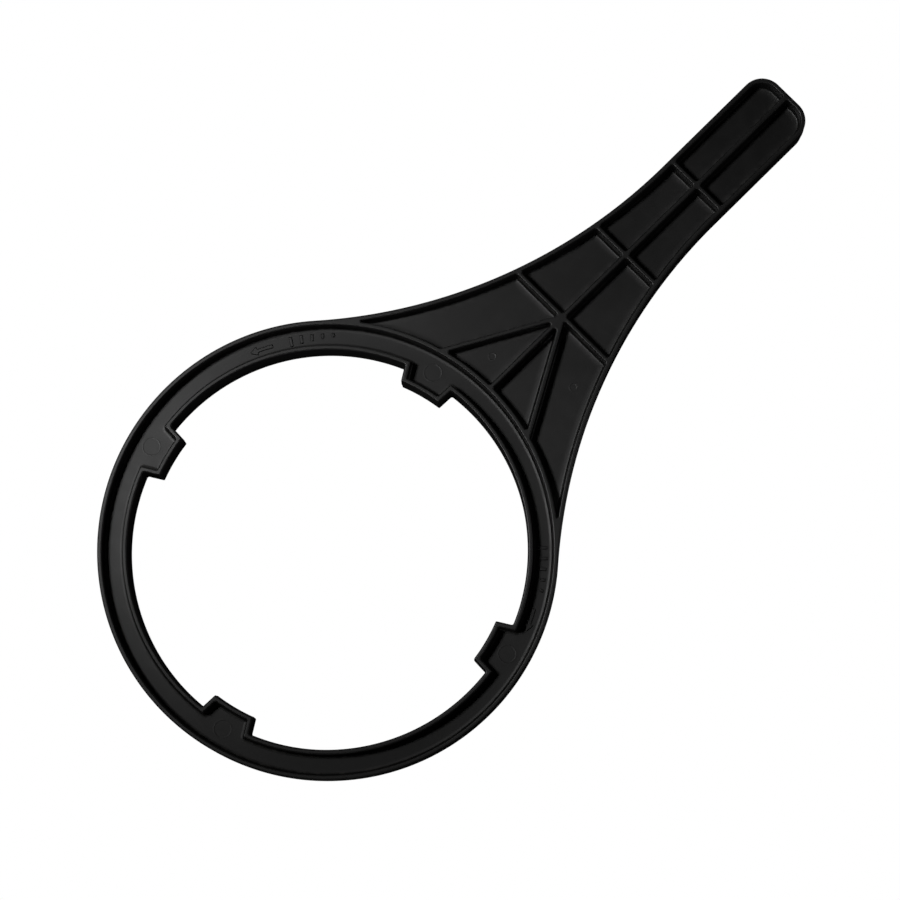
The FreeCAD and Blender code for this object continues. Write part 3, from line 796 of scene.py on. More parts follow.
@dataclass
class Moulding:
    """The spanner's one moulding: ring, lugs, side walls, ribs and webs."""

    sizes: ToolSizes
    form: MouldForm = field(default_factory=MouldForm)
    step: float = 2.0 * MM
    circle_points: int = 360
    ring_dish: float = 0.9 * MM
    handle_dish: float = 2.5 * MM
    lug_pin_place: float = 94.4 * MM
    lug_pin_radius: float = 4.2 * MM
    small_pins: tuple[PinMark, ...] = (
        PinMark(115.8 * MM, 10.6 * MM, 1.9 * MM, 0.025 * MM, 0.015 * MM),
        PinMark(132.1 * MM, -25.7 * MM, 1.9 * MM, 0.025 * MM, 0.015 * MM),
    )

    @property
    def replaced(self) -> list[str]:
        """The nodes that this piece stands for: all but the turning marks."""
        return sorted(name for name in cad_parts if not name.endswith("_mark"))

    def outside(self) -> SmoothLine:
        """The tool's outside: ring, flares, grip and rounded end, each tangent to the next."""
        sizes = self.sizes
        flare_x, flare_y = sizes.flare_centre
        touch = math.atan2(flare_y, flare_x)
        corner_x = sizes.grip_end - sizes.grip_corner
        corner_y = sizes.half_grip - sizes.grip_corner
        quarter = math.pi / 2
        sweeps = [
            Sweep((0, 0), sizes.ring_radius, touch, 2 * math.pi - touch, 1),
            Sweep((flare_x, -flare_y), sizes.flare_radius, math.pi - touch, quarter, -1),
            Sweep((corner_x, -corner_y), sizes.grip_corner, -quarter, 0, 1),
            Sweep((corner_x, corner_y), sizes.grip_corner, 0, quarter, 1),
            Sweep((flare_x, flare_y), sizes.flare_radius, -quarter, touch - math.pi, -1)]
        return smooth_line(sweeps, self.step)

    def lugged(self, radius: float, inset: float, side: int) -> CorneredLine:
        """The line round the bore that follows the lugs.

        Each lug gives a flank, a tip and a flank. A flank is the lug's own flank line moved
        into the lug by the inset, and the tip is an arc about the ring's centre.

        Args:
            radius: Radius between the lugs.
            inset: How far the line runs inside the lugs' faces.
            side: 1 for the bore, whose open space is inside, -1 for the channel.

        Returns:
            The line.
        """
        root, nose = (Corner.HOLLOW, Corner.NOSE)[::side]
        ring = Bend(np.zeros(2), radius, side)
        edges, turns, starts = [], [], []
        for lug in self.sizes.lugs:
            axis = np.array([math.cos(lug.angle), math.sin(lug.angle)])
            left = np.array([-axis[1], axis[0]])
            sine, cosine = math.sin(lug.flank_lean), math.cos(lug.flank_lean)
            flanks, tips, roots = [], [], []
            for hand in (-1, 1):
                out = hand * cosine * left - sine * axis
                along = cosine * axis + hand * sine * left
                anchor = lug.flank_along * axis + hand * lug.flank_across * left - inset * out
                flanks.append(Straight(anchor, side * out))
                tips.append(ray_to_circle(anchor, along, lug.tip_radius + inset))
                roots.append(ray_to_circle(anchor, along, radius))
            edges += [flanks[0], Bend(np.zeros(2), lug.tip_radius + inset, side), flanks[1], ring]
            turns += [Turn(tips[0], nose, self.form.nose_corner),
                      Turn(tips[1], nose, self.form.nose_corner),
                      Turn(roots[1], root, self.form.plan_corner)]
            starts.append(Turn(roots[0], root, self.form.plan_corner))
        ordered = []
        for index in range(len(starts)):
            ordered += turns[3 * index:3 * index + 3] + [starts[(index + 1) % len(starts)]]
        return CorneredLine(edges, ordered, self.step)

    def handle_pockets(self) -> list[CorneredLine]:
        """The recesses between the handle's walls and ribs, the left ones first."""
        return [pocket for sign in (1, -1) for pocket in self.pockets_beside_spine(sign)]

    def pockets_beside_spine(self, sign: int) -> list[CorneredLine]:
        """The recesses on one side of the spine, from the ring to the grip's end.

        Args:
            sign: 1 for the left side, -1 for the right.

        Returns:
            Their lines.
        """
        sizes = self.sizes
        flip = np.array([1, sign])
        centre = np.array(sizes.flare_centre) * flip
        side_wall = Bend(centre, sizes.flare_radius + sizes.wall, -1)
        ring = Bend(np.zeros(2), sizes.ring_radius, -1)
        spine = Straight(np.array([0, sizes.half_rib]) * flip, np.array([0, 1]) * flip)
        grip_side = Straight(np.array([0, sizes.half_grip - sizes.wall]) * flip,
                             np.array([0, -1]) * flip)
        end_face = Straight(np.array([sizes.grip_end - sizes.wall, 0]), np.array([-1, 0]))
        beyond = [Straight(np.array([x + sizes.half_rib, 0]), np.array([1, 0]))
                  for x in sizes.cross_ribs]
        before = [Straight(np.array([x - sizes.half_rib, 0]), np.array([-1, 0]))
                  for x in sizes.cross_ribs]
        apex = np.array([sizes.cross_ribs[0], 0])
        sine, cosine = math.sin(sizes.star_angle), math.cos(sizes.star_angle)
        upward = np.array([sine, cosine]) * flip
        star_top = Straight(apex + sizes.half_rib * upward, upward)
        star_under = Straight(apex - sizes.half_rib * upward, -upward)
        tops = [self.hollow(np.array([x, sizes.wall_height(x)]) * flip)
                for x in sizes.cross_ribs]
        feet = [self.hollow(np.array([x, 0.0])) for x in sizes.cross_ribs]
        end_corner = sizes.grip_corner - sizes.wall
        grip_top = Turn(np.array([sizes.grip_end, sizes.half_grip]) * flip, Corner.HOLLOW,
                        end_corner)
        fork = Turn(np.array(sizes.fork) * flip, Corner.HOLLOW, self.form.fork_corner)
        on_spine = self.hollow(np.array([sizes.ring_radius, 0.0]))
        on_star = self.hollow(self.star_foot(sign))
        pockets = [
            ([ring, star_top, before[0], side_wall], [on_star, feet[0], tops[0], fork]),
            ([ring, spine, star_under], [on_spine, feet[0], on_star]),
            ([beyond[0], spine, before[1], side_wall], [feet[0], feet[1], tops[1], tops[0]]),
            ([beyond[1], spine, before[2], side_wall], [feet[1], feet[2], tops[2], tops[1]]),
            ([beyond[2], spine, end_face, grip_side], [feet[2], feet[2], grip_top, tops[2]])]
        return [CorneredLine(edges, turns, self.step) for edges, turns in pockets]

    def hollow(self, near: np.ndarray) -> Turn:
        """A corner inside a recess, of the usual radius."""
        return Turn(near, Corner.HOLLOW, self.form.plan_corner)

    def star_foot(self, sign: int) -> np.ndarray:
        """Where a star rib's middle plane meets the ring's outer face."""
        apex, radius = self.sizes.cross_ribs[0], self.sizes.ring_radius
        angle = self.sizes.star_angle
        reach = apex * math.cos(angle) - math.sqrt(radius ** 2 - (apex * math.sin(angle)) ** 2)
        return np.array([apex - reach * math.cos(angle), sign * reach * math.sin(angle)])

    def pins(self) -> list[PinMark]:
        """Pin marks of the upper face: a large one on each lug and small ones on the handle."""
        on_lugs = [PinMark(self.lug_pin_place * math.cos(lug.angle),
                           self.lug_pin_place * math.sin(lug.angle), self.lug_pin_radius)
                   for lug in self.sizes.lugs]
        return on_lugs + list(self.small_pins)

    def build(self, materials: list[bpy.types.Material]) -> bpy.types.Object:
        """Build the moulding and tie it to the frame.

        Args:
            materials: Its materials, in the order of Zone.

        Returns:
            The piece.
        """
        sizes, shell = self.sizes, Shell()
        outside = shell.carry(self.outside(), self.form.skirt(sizes.height, self.form.outer_rim),
                              Zone.WALL, Zone.WALL)
        bore = shell.carry(self.lugged(sizes.bore_radius, 0.0, 1),
                           self.form.skirt(sizes.height, self.form.bore_rim),
                           Zone.WALL, Zone.WALL)
        for face in Face:
            self.add_face(shell, face, outside, bore)
        piece = shell.build("spanner_moulding", materials)
        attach(piece, "root")
        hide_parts(*self.replaced)
        return piece

    def add_face(self, shell: Shell, face: Face, outside: np.ndarray, bore: np.ndarray) -> None:
        """Add the recesses, the land and the floors of one face.

        Args:
            shell: The surface under construction.
            face: Which face.
            outside: Indices of the outside's points.
            bore: Indices of the bore's points.
        """
        sizes = self.sizes
        floor = sizes.web_top if face is Face.UPPER else sizes.height - sizes.web_bottom
        profiles = [self.form.recess(sizes.height, floor, dish)
                    for dish in (self.ring_dish, self.handle_dish)]
        if face is Face.LOWER:
            profiles = [profile.turned_over(sizes.height) for profile in profiles]
        channel = [round_line((0, 0), sizes.channel_outer, 1, self.circle_points),
                   self.lugged(sizes.channel_inner, sizes.wall, -1)]
        ring_loops = [shell.carry(line, profiles[0], Zone.WALL, Zone.RING_WEB)
                      for line in channel]
        pocket_loops = [shell.carry(line, profiles[1], Zone.WALL, Zone.HANDLE_WEB)
                        for line in self.handle_pockets()]
        edge = 0 if face is Face.UPPER else -1
        rims = [loop[0] for loop in ring_loops + pocket_loops]
        shell.plate([outside[edge], bore[edge]] + rims, Zone.WALL)
        ring_floor = [loop[-1] for loop in ring_loops]
        handle_floor = [loop[-1] for loop in pocket_loops]
        if face is Face.UPPER:
            for pin in self.pins():
                beyond = math.hypot(pin.x, pin.y) > sizes.ring_radius
                zone = Zone.HANDLE_WEB if beyond else Zone.RING_WEB
                line = round_line((pin.x, pin.y), pin.radius, 1, 64)
                loop = shell.carry(line, pin.profile(sizes.web_top), zone, zone)
                (handle_floor if beyond else ring_floor).extend([loop[0], loop[-1]])
        shell.plate(ring_floor, Zone.RING_WEB)
        shell.plate(handle_floor, Zone.HANDLE_WEB)


# ---------------------------------------------------------------- the turning marks


def loose_parts(name: str) -> list[np.ndarray]:
    """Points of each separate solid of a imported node.

    Points that lie together count as one, and each point takes the lowest number of
    those it shares an edge with, over and over, until nothing changes.

    Args:
        name: The node.

    Returns:
        One array of points for each solid, in metres.
    """
    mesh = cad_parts[name].data
    places = np.empty(3 * len(mesh.vertices))
    mesh.vertices.foreach_get("co", places)
    ends = np.empty(2 * len(mesh.edges), dtype=int)
    mesh.edges.foreach_get("vertices", ends)
    places = places.reshape(-1, 3)
    _, first, spot = np.unique(np.round(places / (0.001 * MM)), axis=0, return_index=True,
                               return_inverse=True)
    spot = spot.reshape(-1)
    near, far = spot[ends.reshape(-1, 2)].T
    part, changed = np.arange(len(first)), True
    while changed:
        lowest = np.minimum(part[near], part[far])
        merged = part.copy()
        np.minimum.at(merged, near, lowest)
        np.minimum.at(merged, far, lowest)
        changed = not np.array_equal(merged, part)
        part = merged
    return [places[first[part == which]] for which in np.unique(part)]


@dataclass
class TurningMark:
    """A raised scale of bars and a bent arrow on the ring's web, built over its solids."""

    node: str
    sizes: ToolSizes
    rim: float = 0.16 * MM
    foot: float = 0.16 * MM
    sunk: float = 0.05 * MM
    corner: float = 0.3 * MM
    draft: float = 0.07 * MM

    @property
    def sense(self) -> int:
        """1 if the mark runs counter-clockwise from the handle, else -1."""
        return 1 if node_points(self.node)[:, 1].mean() > 0 else -1

    def profile(self, top: float) -> Profile:
        """Section of a raised mark, from its flat top out and down into the web.

        The rim and the foot are quarter circles, and the wall between them leans out.

        Args:
            top: Height of its top.

        Returns:
            The profile, whose offsets are counted outwards from the mark's outline.
        """
        web = self.sizes.web_top
        over = np.linspace(0, np.pi / 2, 5)
        rim_d = -self.draft - self.rim
        offsets = np.concatenate([[rim_d - self.rim / 2], rim_d + self.rim * np.sin(over),
                                  self.foot * (1 - np.cos(over)), [self.foot, 0]])
        heights = np.concatenate([[top], top - self.rim + self.rim * np.cos(over),
                                  web + self.foot * (1 - np.sin(over)),
                                  [web - self.sunk, web - self.sunk]])
        rubbed = np.concatenate([[0.4], np.sin(2 * over), 0 * over, [0, 0]])
        dusty = np.concatenate([[0], 0 * over, np.sin(over), [1, 0]])
        return Profile(offsets, heights, rubbed, dusty, len(heights))

    def bar_line(self, part: np.ndarray) -> CorneredLine:
        """Outline of a bar: a rectangle along its own radius.

        Args:
            part: Points of the bar's solid.

        Returns:
            The line, with open space outside it.
        """
        middle = part[:, :2].mean(axis=0)
        axis = middle / np.linalg.norm(middle)
        left = np.array([-axis[1], axis[0]])
        along, across = part[:, :2] @ axis, part[:, :2] @ left
        sides = [Straight(along.max() * axis, axis), Straight(across.max() * left, left),
                 Straight(along.min() * axis, -axis), Straight(across.min() * left, -left)]
        corners = [along.max() * axis + across.max() * left,
                   along.min() * axis + across.max() * left,
                   along.min() * axis + across.min() * left,
                   along.max() * axis + across.min() * left]
        return self.cornered(sides, [(corner, Corner.NOSE) for corner in corners])

    def arrow_line(self, part: np.ndarray, middle_radius: float) -> CorneredLine:
        """Outline of the arrow: a stretch of ring for its shaft, a triangle for its head.

        The head's tip is one head radius ahead of a point on the shaft's middle circle,
        and its back is half of that behind it.

        Args:
            part: Points of the arrow's solid.
            middle_radius: Radius of the shaft's middle line.

        Returns:
            The line, with open space outside it.
        """
        plan = part[:, :2] * np.array([1, self.sense])
        angles = np.arctan2(plan[:, 1], plan[:, 0])
        radii = np.linalg.norm(plan, axis=1)
        tip = plan[angles.argmax()]
        head = math.sqrt(float(tip @ tip) - middle_radius ** 2)
        turn = math.atan2(tip[1], tip[0]) - math.atan2(head, middle_radius)
        tail_angle = angles.min()
        half_shaft = np.ptp(radii[angles < tail_angle + math.radians(0.05)]) / 2
        out = np.array([math.cos(turn), math.sin(turn)])
        ahead = np.array([-out[1], out[0]])
        centre = middle_radius * out
        half_head = head * math.sqrt(3) / 2
        back = centre - head / 2 * ahead
        tail = np.array([math.cos(tail_angle), math.sin(tail_angle)])
        behind = np.array([tail[1], -tail[0]])
        inner, outer = middle_radius - half_shaft, middle_radius + half_shaft
        slant = [math.sqrt(3) / 2 * hand * out + 0.5 * ahead for hand in (-1, 1)]
        edges = [Straight(inner * tail, behind), Bend(np.zeros(2), inner, 1),
                 Straight(back, -ahead), Straight(centre + head * ahead, slant[0]),
                 Straight(centre + head * ahead, slant[1]), Straight(back, -ahead),
                 Bend(np.zeros(2), outer, -1)]
        places = [(inner * tail, Corner.NOSE), (back - half_shaft * out, Corner.HOLLOW),
                  (back - half_head * out, Corner.NOSE), (centre + head * ahead, Corner.NOSE),
                  (back + half_head * out, Corner.NOSE),
                  (back + half_shaft * out, Corner.HOLLOW), (outer * tail, Corner.NOSE)]
        flip = np.array([1, self.sense])
        flipped = [Straight(edge.anchor * flip, edge.inward * flip)
                   if isinstance(edge, Straight) else edge for edge in edges]
        return self.cornered(flipped, [(place * flip, kind) for place, kind in places])

    def cornered(self, edges: list[Straight | Bend],
                 places: list[tuple[np.ndarray, Corner]]) -> CorneredLine:
        """A line whose corners all have this mark's radius."""
        turns = [Turn(place, kind, self.corner) for place, kind in places]
        return CorneredLine(edges, turns, step=0.5 * MM, run_in=0.08 * MM, corner_steps=5,
                            least_radius=0.04 * MM)

    def build(self, material: bpy.types.Material) -> bpy.types.Object:
        """Build the mark and tie it to the frame.

        Args:
            material: Its material.

        Returns:
            The piece.
        """
        parts = loose_parts(self.node)
        parts.sort(key=lambda part: abs(math.atan2(part[:, 1].mean(), part[:, 0].mean())))
        radii = [np.linalg.norm(part[:, :2], axis=1) for part in parts[:-1]]
        base = max(float(np.median(radius[radius > radius.mean()])) for radius in radii)
        lowest = min(float(radius.min()) for radius in radii)
        lines = [self.bar_line(part) for part in parts[:-1]]
        lines.append(self.arrow_line(parts[-1], (base + lowest) / 2))
        shell = Shell()
        profile = self.profile(float(parts[0][:, 2].max()))
        for line in lines:
            index = shell.carry(line, profile, Zone.WALL, Zone.WALL)
            shell.plate([index[0]], Zone.WALL)
            shell.plate([index[-1]], Zone.WALL)
        piece = shell.build(f"{self.node}_raised", [material])
        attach(piece, "root")
        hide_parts(self.node)
        return piece


# ---------------------------------------------------------------- finishes


@dataclass
class Sheet:
    """A node tree under construction, with short ways to add nodes and join them."""

    tree: bpy.types.NodeTree

    def add(self, kind: str, settings: dict | None = None, **inputs: object) -> bpy.types.Node:
        """Add a node.

        Args:
            kind: Its type name without the ShaderNode in front.
            settings: Its properties.
            inputs: Values or outputs for its inputs, spaces written as underscores. An
                input given as "_0" is taken by its number.

        Returns:
            The node.
        """
        node = self.tree.nodes.new("ShaderNode" + kind)
        for name, value in (settings or {}).items():
            setattr(node, name, value)
        for name, value in inputs.items():
            place = int(name[1:]) if name[1:].isdigit() else name.replace("_", " ")
            socket = node.inputs[place]
            if isinstance(value, bpy.types.NodeSocket):
                self.tree.links.new(value, socket)
            else:
                socket.default_value = value
        return node

    def math(self, operation: str, first: object, second: object = 0.0) -> bpy.types.NodeSocket:
        """The result of a Math node on two values or outputs."""
        return self.add("Math", {"operation": operation}, _0=first, _1=second).outputs[0]

    def ramp(self, value: bpy.types.NodeSocket, low: float, high: float,
             to_low: float = 0.0, to_high: float = 1.0) -> bpy.types.NodeSocket:
        """A value carried from one range to another, smoothly and held at both ends."""
        node = self.add("MapRange", {"interpolation_type": "SMOOTHSTEP"}, _0=value, _1=low,
                        _2=high, _3=to_low, _4=to_high)
        return node.outputs[0]

    def noise(self, vector: bpy.types.NodeSocket, scale: object, detail: float,
              roughness: float = 0.5) -> bpy.types.NodeSocket:
        """The value of a noise texture at a vector."""
        return self.add("TexNoise", None, Vector=vector, Scale=scale, Detail=detail,
                        Roughness=roughness).outputs[0]


def new_group(name: str, inputs: dict[str, float | None],
              outputs: list[str]) -> tuple[Sheet, dict, bpy.types.Node]:
    """Start a shader node group.

    Args:
        name: Its name.
        inputs: Name and standing value of each input; None for a vector.
        outputs: Names of its outputs, all values.

    Returns:
        Its sheet, the inputs by name as the group's own nodes see them, and the node to
        join the outputs to.
    """
    tree = bpy.data.node_groups.new(name, "ShaderNodeTree")
    for label, value in inputs.items():
        kind = "NodeSocketVector" if value is None else "NodeSocketFloat"
        socket = tree.interface.new_socket(label, in_out="INPUT", socket_type=kind)
        if value is not None:
            socket.default_value = value
    for label in outputs:
        tree.interface.new_socket(label, in_out="OUTPUT", socket_type="NodeSocketFloat")
    inner = tree.nodes.new("NodeGroupInput").outputs
    return Sheet(tree), {label: inner[label] for label in inputs}, tree.nodes.new("NodeGroupOutput")


def make_grain() -> bpy.types.NodeTree:
    """Fine eroded grain of the mould: two sizes of noise added, as a height from 0 to 1."""
    sheet, given, result = new_group("mould_grain", {"Vector": None, "Scale": 2600.0}, ["Height"])
    coarse = sheet.noise(given["Vector"], given["Scale"], 3.0, 0.6)
    fine = sheet.noise(given["Vector"], sheet.math("MULTIPLY", given["Scale"], 2.7), 2.0)
    both = sheet.math("ADD", sheet.math("MULTIPLY", coarse, 0.6), sheet.math("MULTIPLY", fine, 0.4))
    sheet.tree.links.new(both, result.inputs["Height"])
    return sheet.tree


def make_flow() -> bpy.types.NodeTree:
    """Cloudy flow marks of the melt: slow noise, and faster noise that it bends."""
    sheet, given, result = new_group(
        "flow_marks", {"Vector": None, "Scale": 38.0, "Bend": 0.012}, ["Mask"])
    slow = sheet.add("TexNoise", None, Vector=given["Vector"], Scale=given["Scale"], Detail=2.0)
    shift = sheet.add("VectorMath", {"operation": "SCALE"}, _0=slow.outputs[1])
    sheet.tree.links.new(given["Bend"], shift.inputs["Scale"])
    moved = sheet.add("VectorMath", {"operation": "ADD"}, _0=given["Vector"], _1=shift.outputs[0])
    quick = sheet.noise(moved.outputs[0], sheet.math("MULTIPLY", given["Scale"], 4.5), 4.0, 0.55)
    both = sheet.math("ADD", sheet.math("MULTIPLY", slow.outputs[0], 0.55),
                      sheet.math("MULTIPLY", quick, 0.45))
    sheet.tree.links.new(sheet.ramp(both, 0.3, 0.7), result.inputs["Mask"])
    return sheet.tree


def make_rubbed() -> bpy.types.NodeTree:
    """Rubbed rims: the edge value, broken up by noise so that it comes and goes."""
    sheet, given, result = new_group(
        "rubbed_rim", {"Vector": None, "Edge": 0.0, "Scale": 420.0}, ["Mask"])
    broken = sheet.ramp(sheet.noise(given["Vector"], given["Scale"], 5.0, 0.62), 0.36, 0.62)
    slow = sheet.ramp(sheet.noise(given["Vector"], 27.0, 2.0), 0.35, 0.65, 0.35, 1.0)
    mask = sheet.math("MULTIPLY", given["Edge"], sheet.math("MULTIPLY", broken, slow))
    sheet.tree.links.new(mask, result.inputs["Mask"])
    return sheet.tree


def make_dust() -> bpy.types.NodeTree:
    """Dust: a patchy film where the corner value is high, and rare specks everywhere."""
    sheet, given, result = new_group(
        "settled_dust", {"Vector": None, "Corner": 0.0, "Specks": 0.5}, ["Mask"])
    patches = sheet.ramp(sheet.noise(given["Vector"], 310.0, 4.0, 0.6), 0.42, 0.7)
    film = sheet.math("MULTIPLY", given["Corner"], patches)
    cells = sheet.add("TexVoronoi", {"feature": "F1"}, Vector=given["Vector"], Scale=430.0)
    chosen = sheet.math("GREATER_THAN", sheet.add(
        "SeparateColor", None, Color=cells.outputs["Color"]).outputs[0], 0.93)
    dot = sheet.ramp(cells.outputs["Distance"], 0.16, 0.05)
    specks = sheet.math("MULTIPLY", sheet.math("MULTIPLY", dot, chosen), given["Specks"])
    sheet.tree.links.new(sheet.math("MAXIMUM", film, specks), result.inputs["Mask"])
    return sheet.tree


def make_scuffs() -> bpy.types.NodeTree:
    """Fine scuffs: noise stretched along two directions, kept only on its crests."""
    sheet, given, result = new_group(
        "fine_scuffs", {"Vector": None, "Amount": 0.5}, ["Mask"])
    crests = []
    for turn, stretch in ((0.6, (900.0, 22.0, 60.0)), (2.3, (700.0, 30.0, 60.0))):
        place = sheet.add("Mapping", None, Vector=given["Vector"], Rotation=(0, 0, turn),
                          Scale=stretch)
        crests.append(sheet.ramp(sheet.noise(place.outputs[0], 1.0, 2.0), 0.66, 0.74))
    patches = sheet.ramp(sheet.noise(given["Vector"], 55.0, 3.0), 0.5, 0.7)
    scuffs = sheet.math("MULTIPLY", sheet.math("MAXIMUM", *crests), patches)
    sheet.tree.links.new(sheet.math("MULTIPLY", scuffs, given["Amount"]), result.inputs["Mask"])
    return sheet.tree


def make_painted_sheen_falloff() -> bpy.types.NodeTree:
    """Painted shade on the sheen: the specular level fades along a direction, dimming the
    reflection on one side; place dot direction, carried to a range.
    """
    sheet, given, result = new_group(
        "painted_sheen_falloff", {"Vector": None, "Direction": None, "From": -0.1, "To": 0.1,
                        "Low": 0.5, "High": 1.0}, ["Mask"])
    along = sheet.add("VectorMath", {"operation": "DOT_PRODUCT"}, _0=given["Vector"],
                      _1=given["Direction"]).outputs["Value"]
    mask = sheet.ramp(along, given["From"], given["To"], given["Low"], given["High"])
    sheet.tree.links.new(mask, result.inputs["Mask"])
    return sheet.tree


@dataclass(frozen=True)
class Effects:
    """The node groups that every finish shares."""

    grain: bpy.types.NodeTree
    flow: bpy.types.NodeTree
    rubbed: bpy.types.NodeTree
    dust: bpy.types.NodeTree
    scuffs: bpy.types.NodeTree
    painted_sheen_fade: bpy.types.NodeTree

    @classmethod
    def make(cls) -> "Effects":
        """Build each group once."""
        return cls(make_grain(), make_flow(), make_rubbed(), make_dust(), make_scuffs(),
                   make_painted_sheen_falloff())


@dataclass(frozen=True)
class BlackPlastic:
    """Black moulded plastic: its colours, gloss with a painted fall-off of its sheen, grain and
    marks of use.
    """

    name: str
    body: tuple[float, float, float] = (0.0085, 0.0084, 0.0082)
    cloudy: tuple[float, float, float] = (0.0125, 0.0123, 0.012)
    worn: tuple[float, float, float] = (0.03, 0.0295, 0.029)
    dust: tuple[float, float, float] = (0.09, 0.087, 0.082)
    roughness: float = 0.36
    roughness_swing: float = 0.02
    specular: float = 0.5
    # painted shade: the sheen fades along this direction in object space, from the first place to
    # the second, down to the low share of its strength
    sheen_falloff_way: tuple[float, float, float] = (0.914, 0.407, 0.0)
    sheen_falloff_from: float = -0.115
    sheen_falloff_to: float = 0.05
    sheen_falloff_low: float = 0.25
    grain_scale: float = 2600.0
    grain_depth: float = 0.004 * MM
    wear: float = 0.6
    dust_film: float = 0.3
    specks: float = 0.35
    scuffs: float = 0.4

    def make(self, effects: Effects) -> bpy.types.Material:
        """Build the material.

        Flow marks move the colour and the roughness, rubbed rims lighten and smooth it,
        dust and scuffs lie on top, and grain and scuffs feed the bump. A mask along one
        direction lowers the specular level: painted shade that dims the sheen on one side.

        Args:
            effects: The shared node groups.

        Returns:
            The material.
        """
        material = bpy.data.materials.new(self.name)
        material.use_nodes = True
        material.node_tree.nodes.clear()
        sheet = Sheet(material.node_tree)
        place = sheet.add("TexCoord").outputs["Object"]
        edge = sheet.add("Attribute", {"attribute_name": "rubbed"}).outputs["Fac"]
        corner = sheet.add("Attribute", {"attribute_name": "dusty"}).outputs["Fac"]
        grain = self.group(sheet, effects.grain, Vector=place, Scale=self.grain_scale)
        flow = self.group(sheet, effects.flow, Vector=place)
        rubbed = sheet.math("MULTIPLY", self.group(sheet, effects.rubbed, Vector=place, Edge=edge),
                            self.wear)
        film = sheet.math("MULTIPLY", corner, self.dust_film)
        dust = self.group(sheet, effects.dust, Vector=place, Corner=film, Specks=self.specks)
        scuffs = self.group(sheet, effects.scuffs, Vector=place, Amount=self.scuffs)
        colour = self.blend(sheet, flow, (*self.body, 1), (*self.cloudy, 1))
        colour = self.blend(sheet, sheet.math("MAXIMUM", rubbed, scuffs), colour, (*self.worn, 1))
        colour = self.blend(sheet, dust, colour, (*self.dust, 1))
        rough = sheet.ramp(flow, 0, 1, self.roughness - self.roughness_swing,
                           self.roughness + self.roughness_swing)
        rough = sheet.math("SUBTRACT", rough, sheet.math("MULTIPLY", rubbed, 0.08))
        rough = sheet.math("ADD", rough, sheet.math("MULTIPLY", dust, 0.3))
        height = sheet.math("ADD", grain, sheet.math("MULTIPLY", scuffs, -0.6))
        bump = sheet.add("Bump", None, Strength=1.0, Distance=self.grain_depth, Height=height)
        # painted shade: a mask along one direction lowers the specular level, dimming the sheen on
        # one side of the tool
        painted_sheen_fade = self.group(sheet, effects.painted_sheen_fade, Vector=place, Direction=self.sheen_falloff_way,
                           From=self.sheen_falloff_from, To=self.sheen_falloff_to, Low=self.sheen_falloff_low)
        painted_sheen_fade = sheet.math("MULTIPLY", painted_sheen_fade, self.specular)
        shader = sheet.add("BsdfPrincipled", None, Base_Color=colour, Roughness=rough,
                           Normal=bump.outputs[0], Specular_IOR_Level=painted_sheen_fade, IOR=1.5)
        sheet.add("OutputMaterial", None, Surface=shader.outputs[0])
        return material

    @staticmethod
    def group(sheet: Sheet, tree: bpy.types.NodeTree, **inputs: object) -> bpy.types.NodeSocket:
        """Place a shared group and return its output."""
        node = sheet.tree.nodes.new("ShaderNodeGroup")
        node.node_tree = tree
        for name, value in inputs.items():
            if isinstance(value, bpy.types.NodeSocket):
                sheet.tree.links.new(value, node.inputs[name])
            else:
                node.inputs[name].default_value = value
        return node.outputs[0]

    @staticmethod
    def blend(sheet: Sheet, share: object, first: object, second: object) -> bpy.types.NodeSocket:
        """Mix two colours by a share."""
        node = sheet.add("Mix", {"data_type": "RGBA"}, _0=share, _6=first, _7=second)
        return node.outputs[2]


# ---------------------------------------------------------------- stage, lights and camera


@dataclass(frozen=True)
class AreaLamp:
    """A square soft light: where it stands, what it points at, its side and its power."""

    name: str
    place: tuple[float, float, float]
    aim: tuple[float, float, float]
    side: float
    power: float
    colour: tuple[float, float, float] = (1.0, 1.0, 1.0)

    def add(self) -> None:
        """Add the light, which looks down its own -Z axis at its aim."""
        lamp = bpy.data.lights.new(self.name, "AREA")
        lamp.shape, lamp.size, lamp.energy = "SQUARE", self.side, self.power
        lamp.color = self.colour
        holder = bpy.data.objects.new(self.name, lamp)
        bpy.context.scene.collection.objects.link(holder)
        holder.visible_camera = False
        way = Vector(self.aim) - Vector(self.place)
        turn = way.to_track_quat("-Z", "Y").to_matrix().to_4x4()
        holder.matrix_world = Matrix.Translation(self.place) @ turn


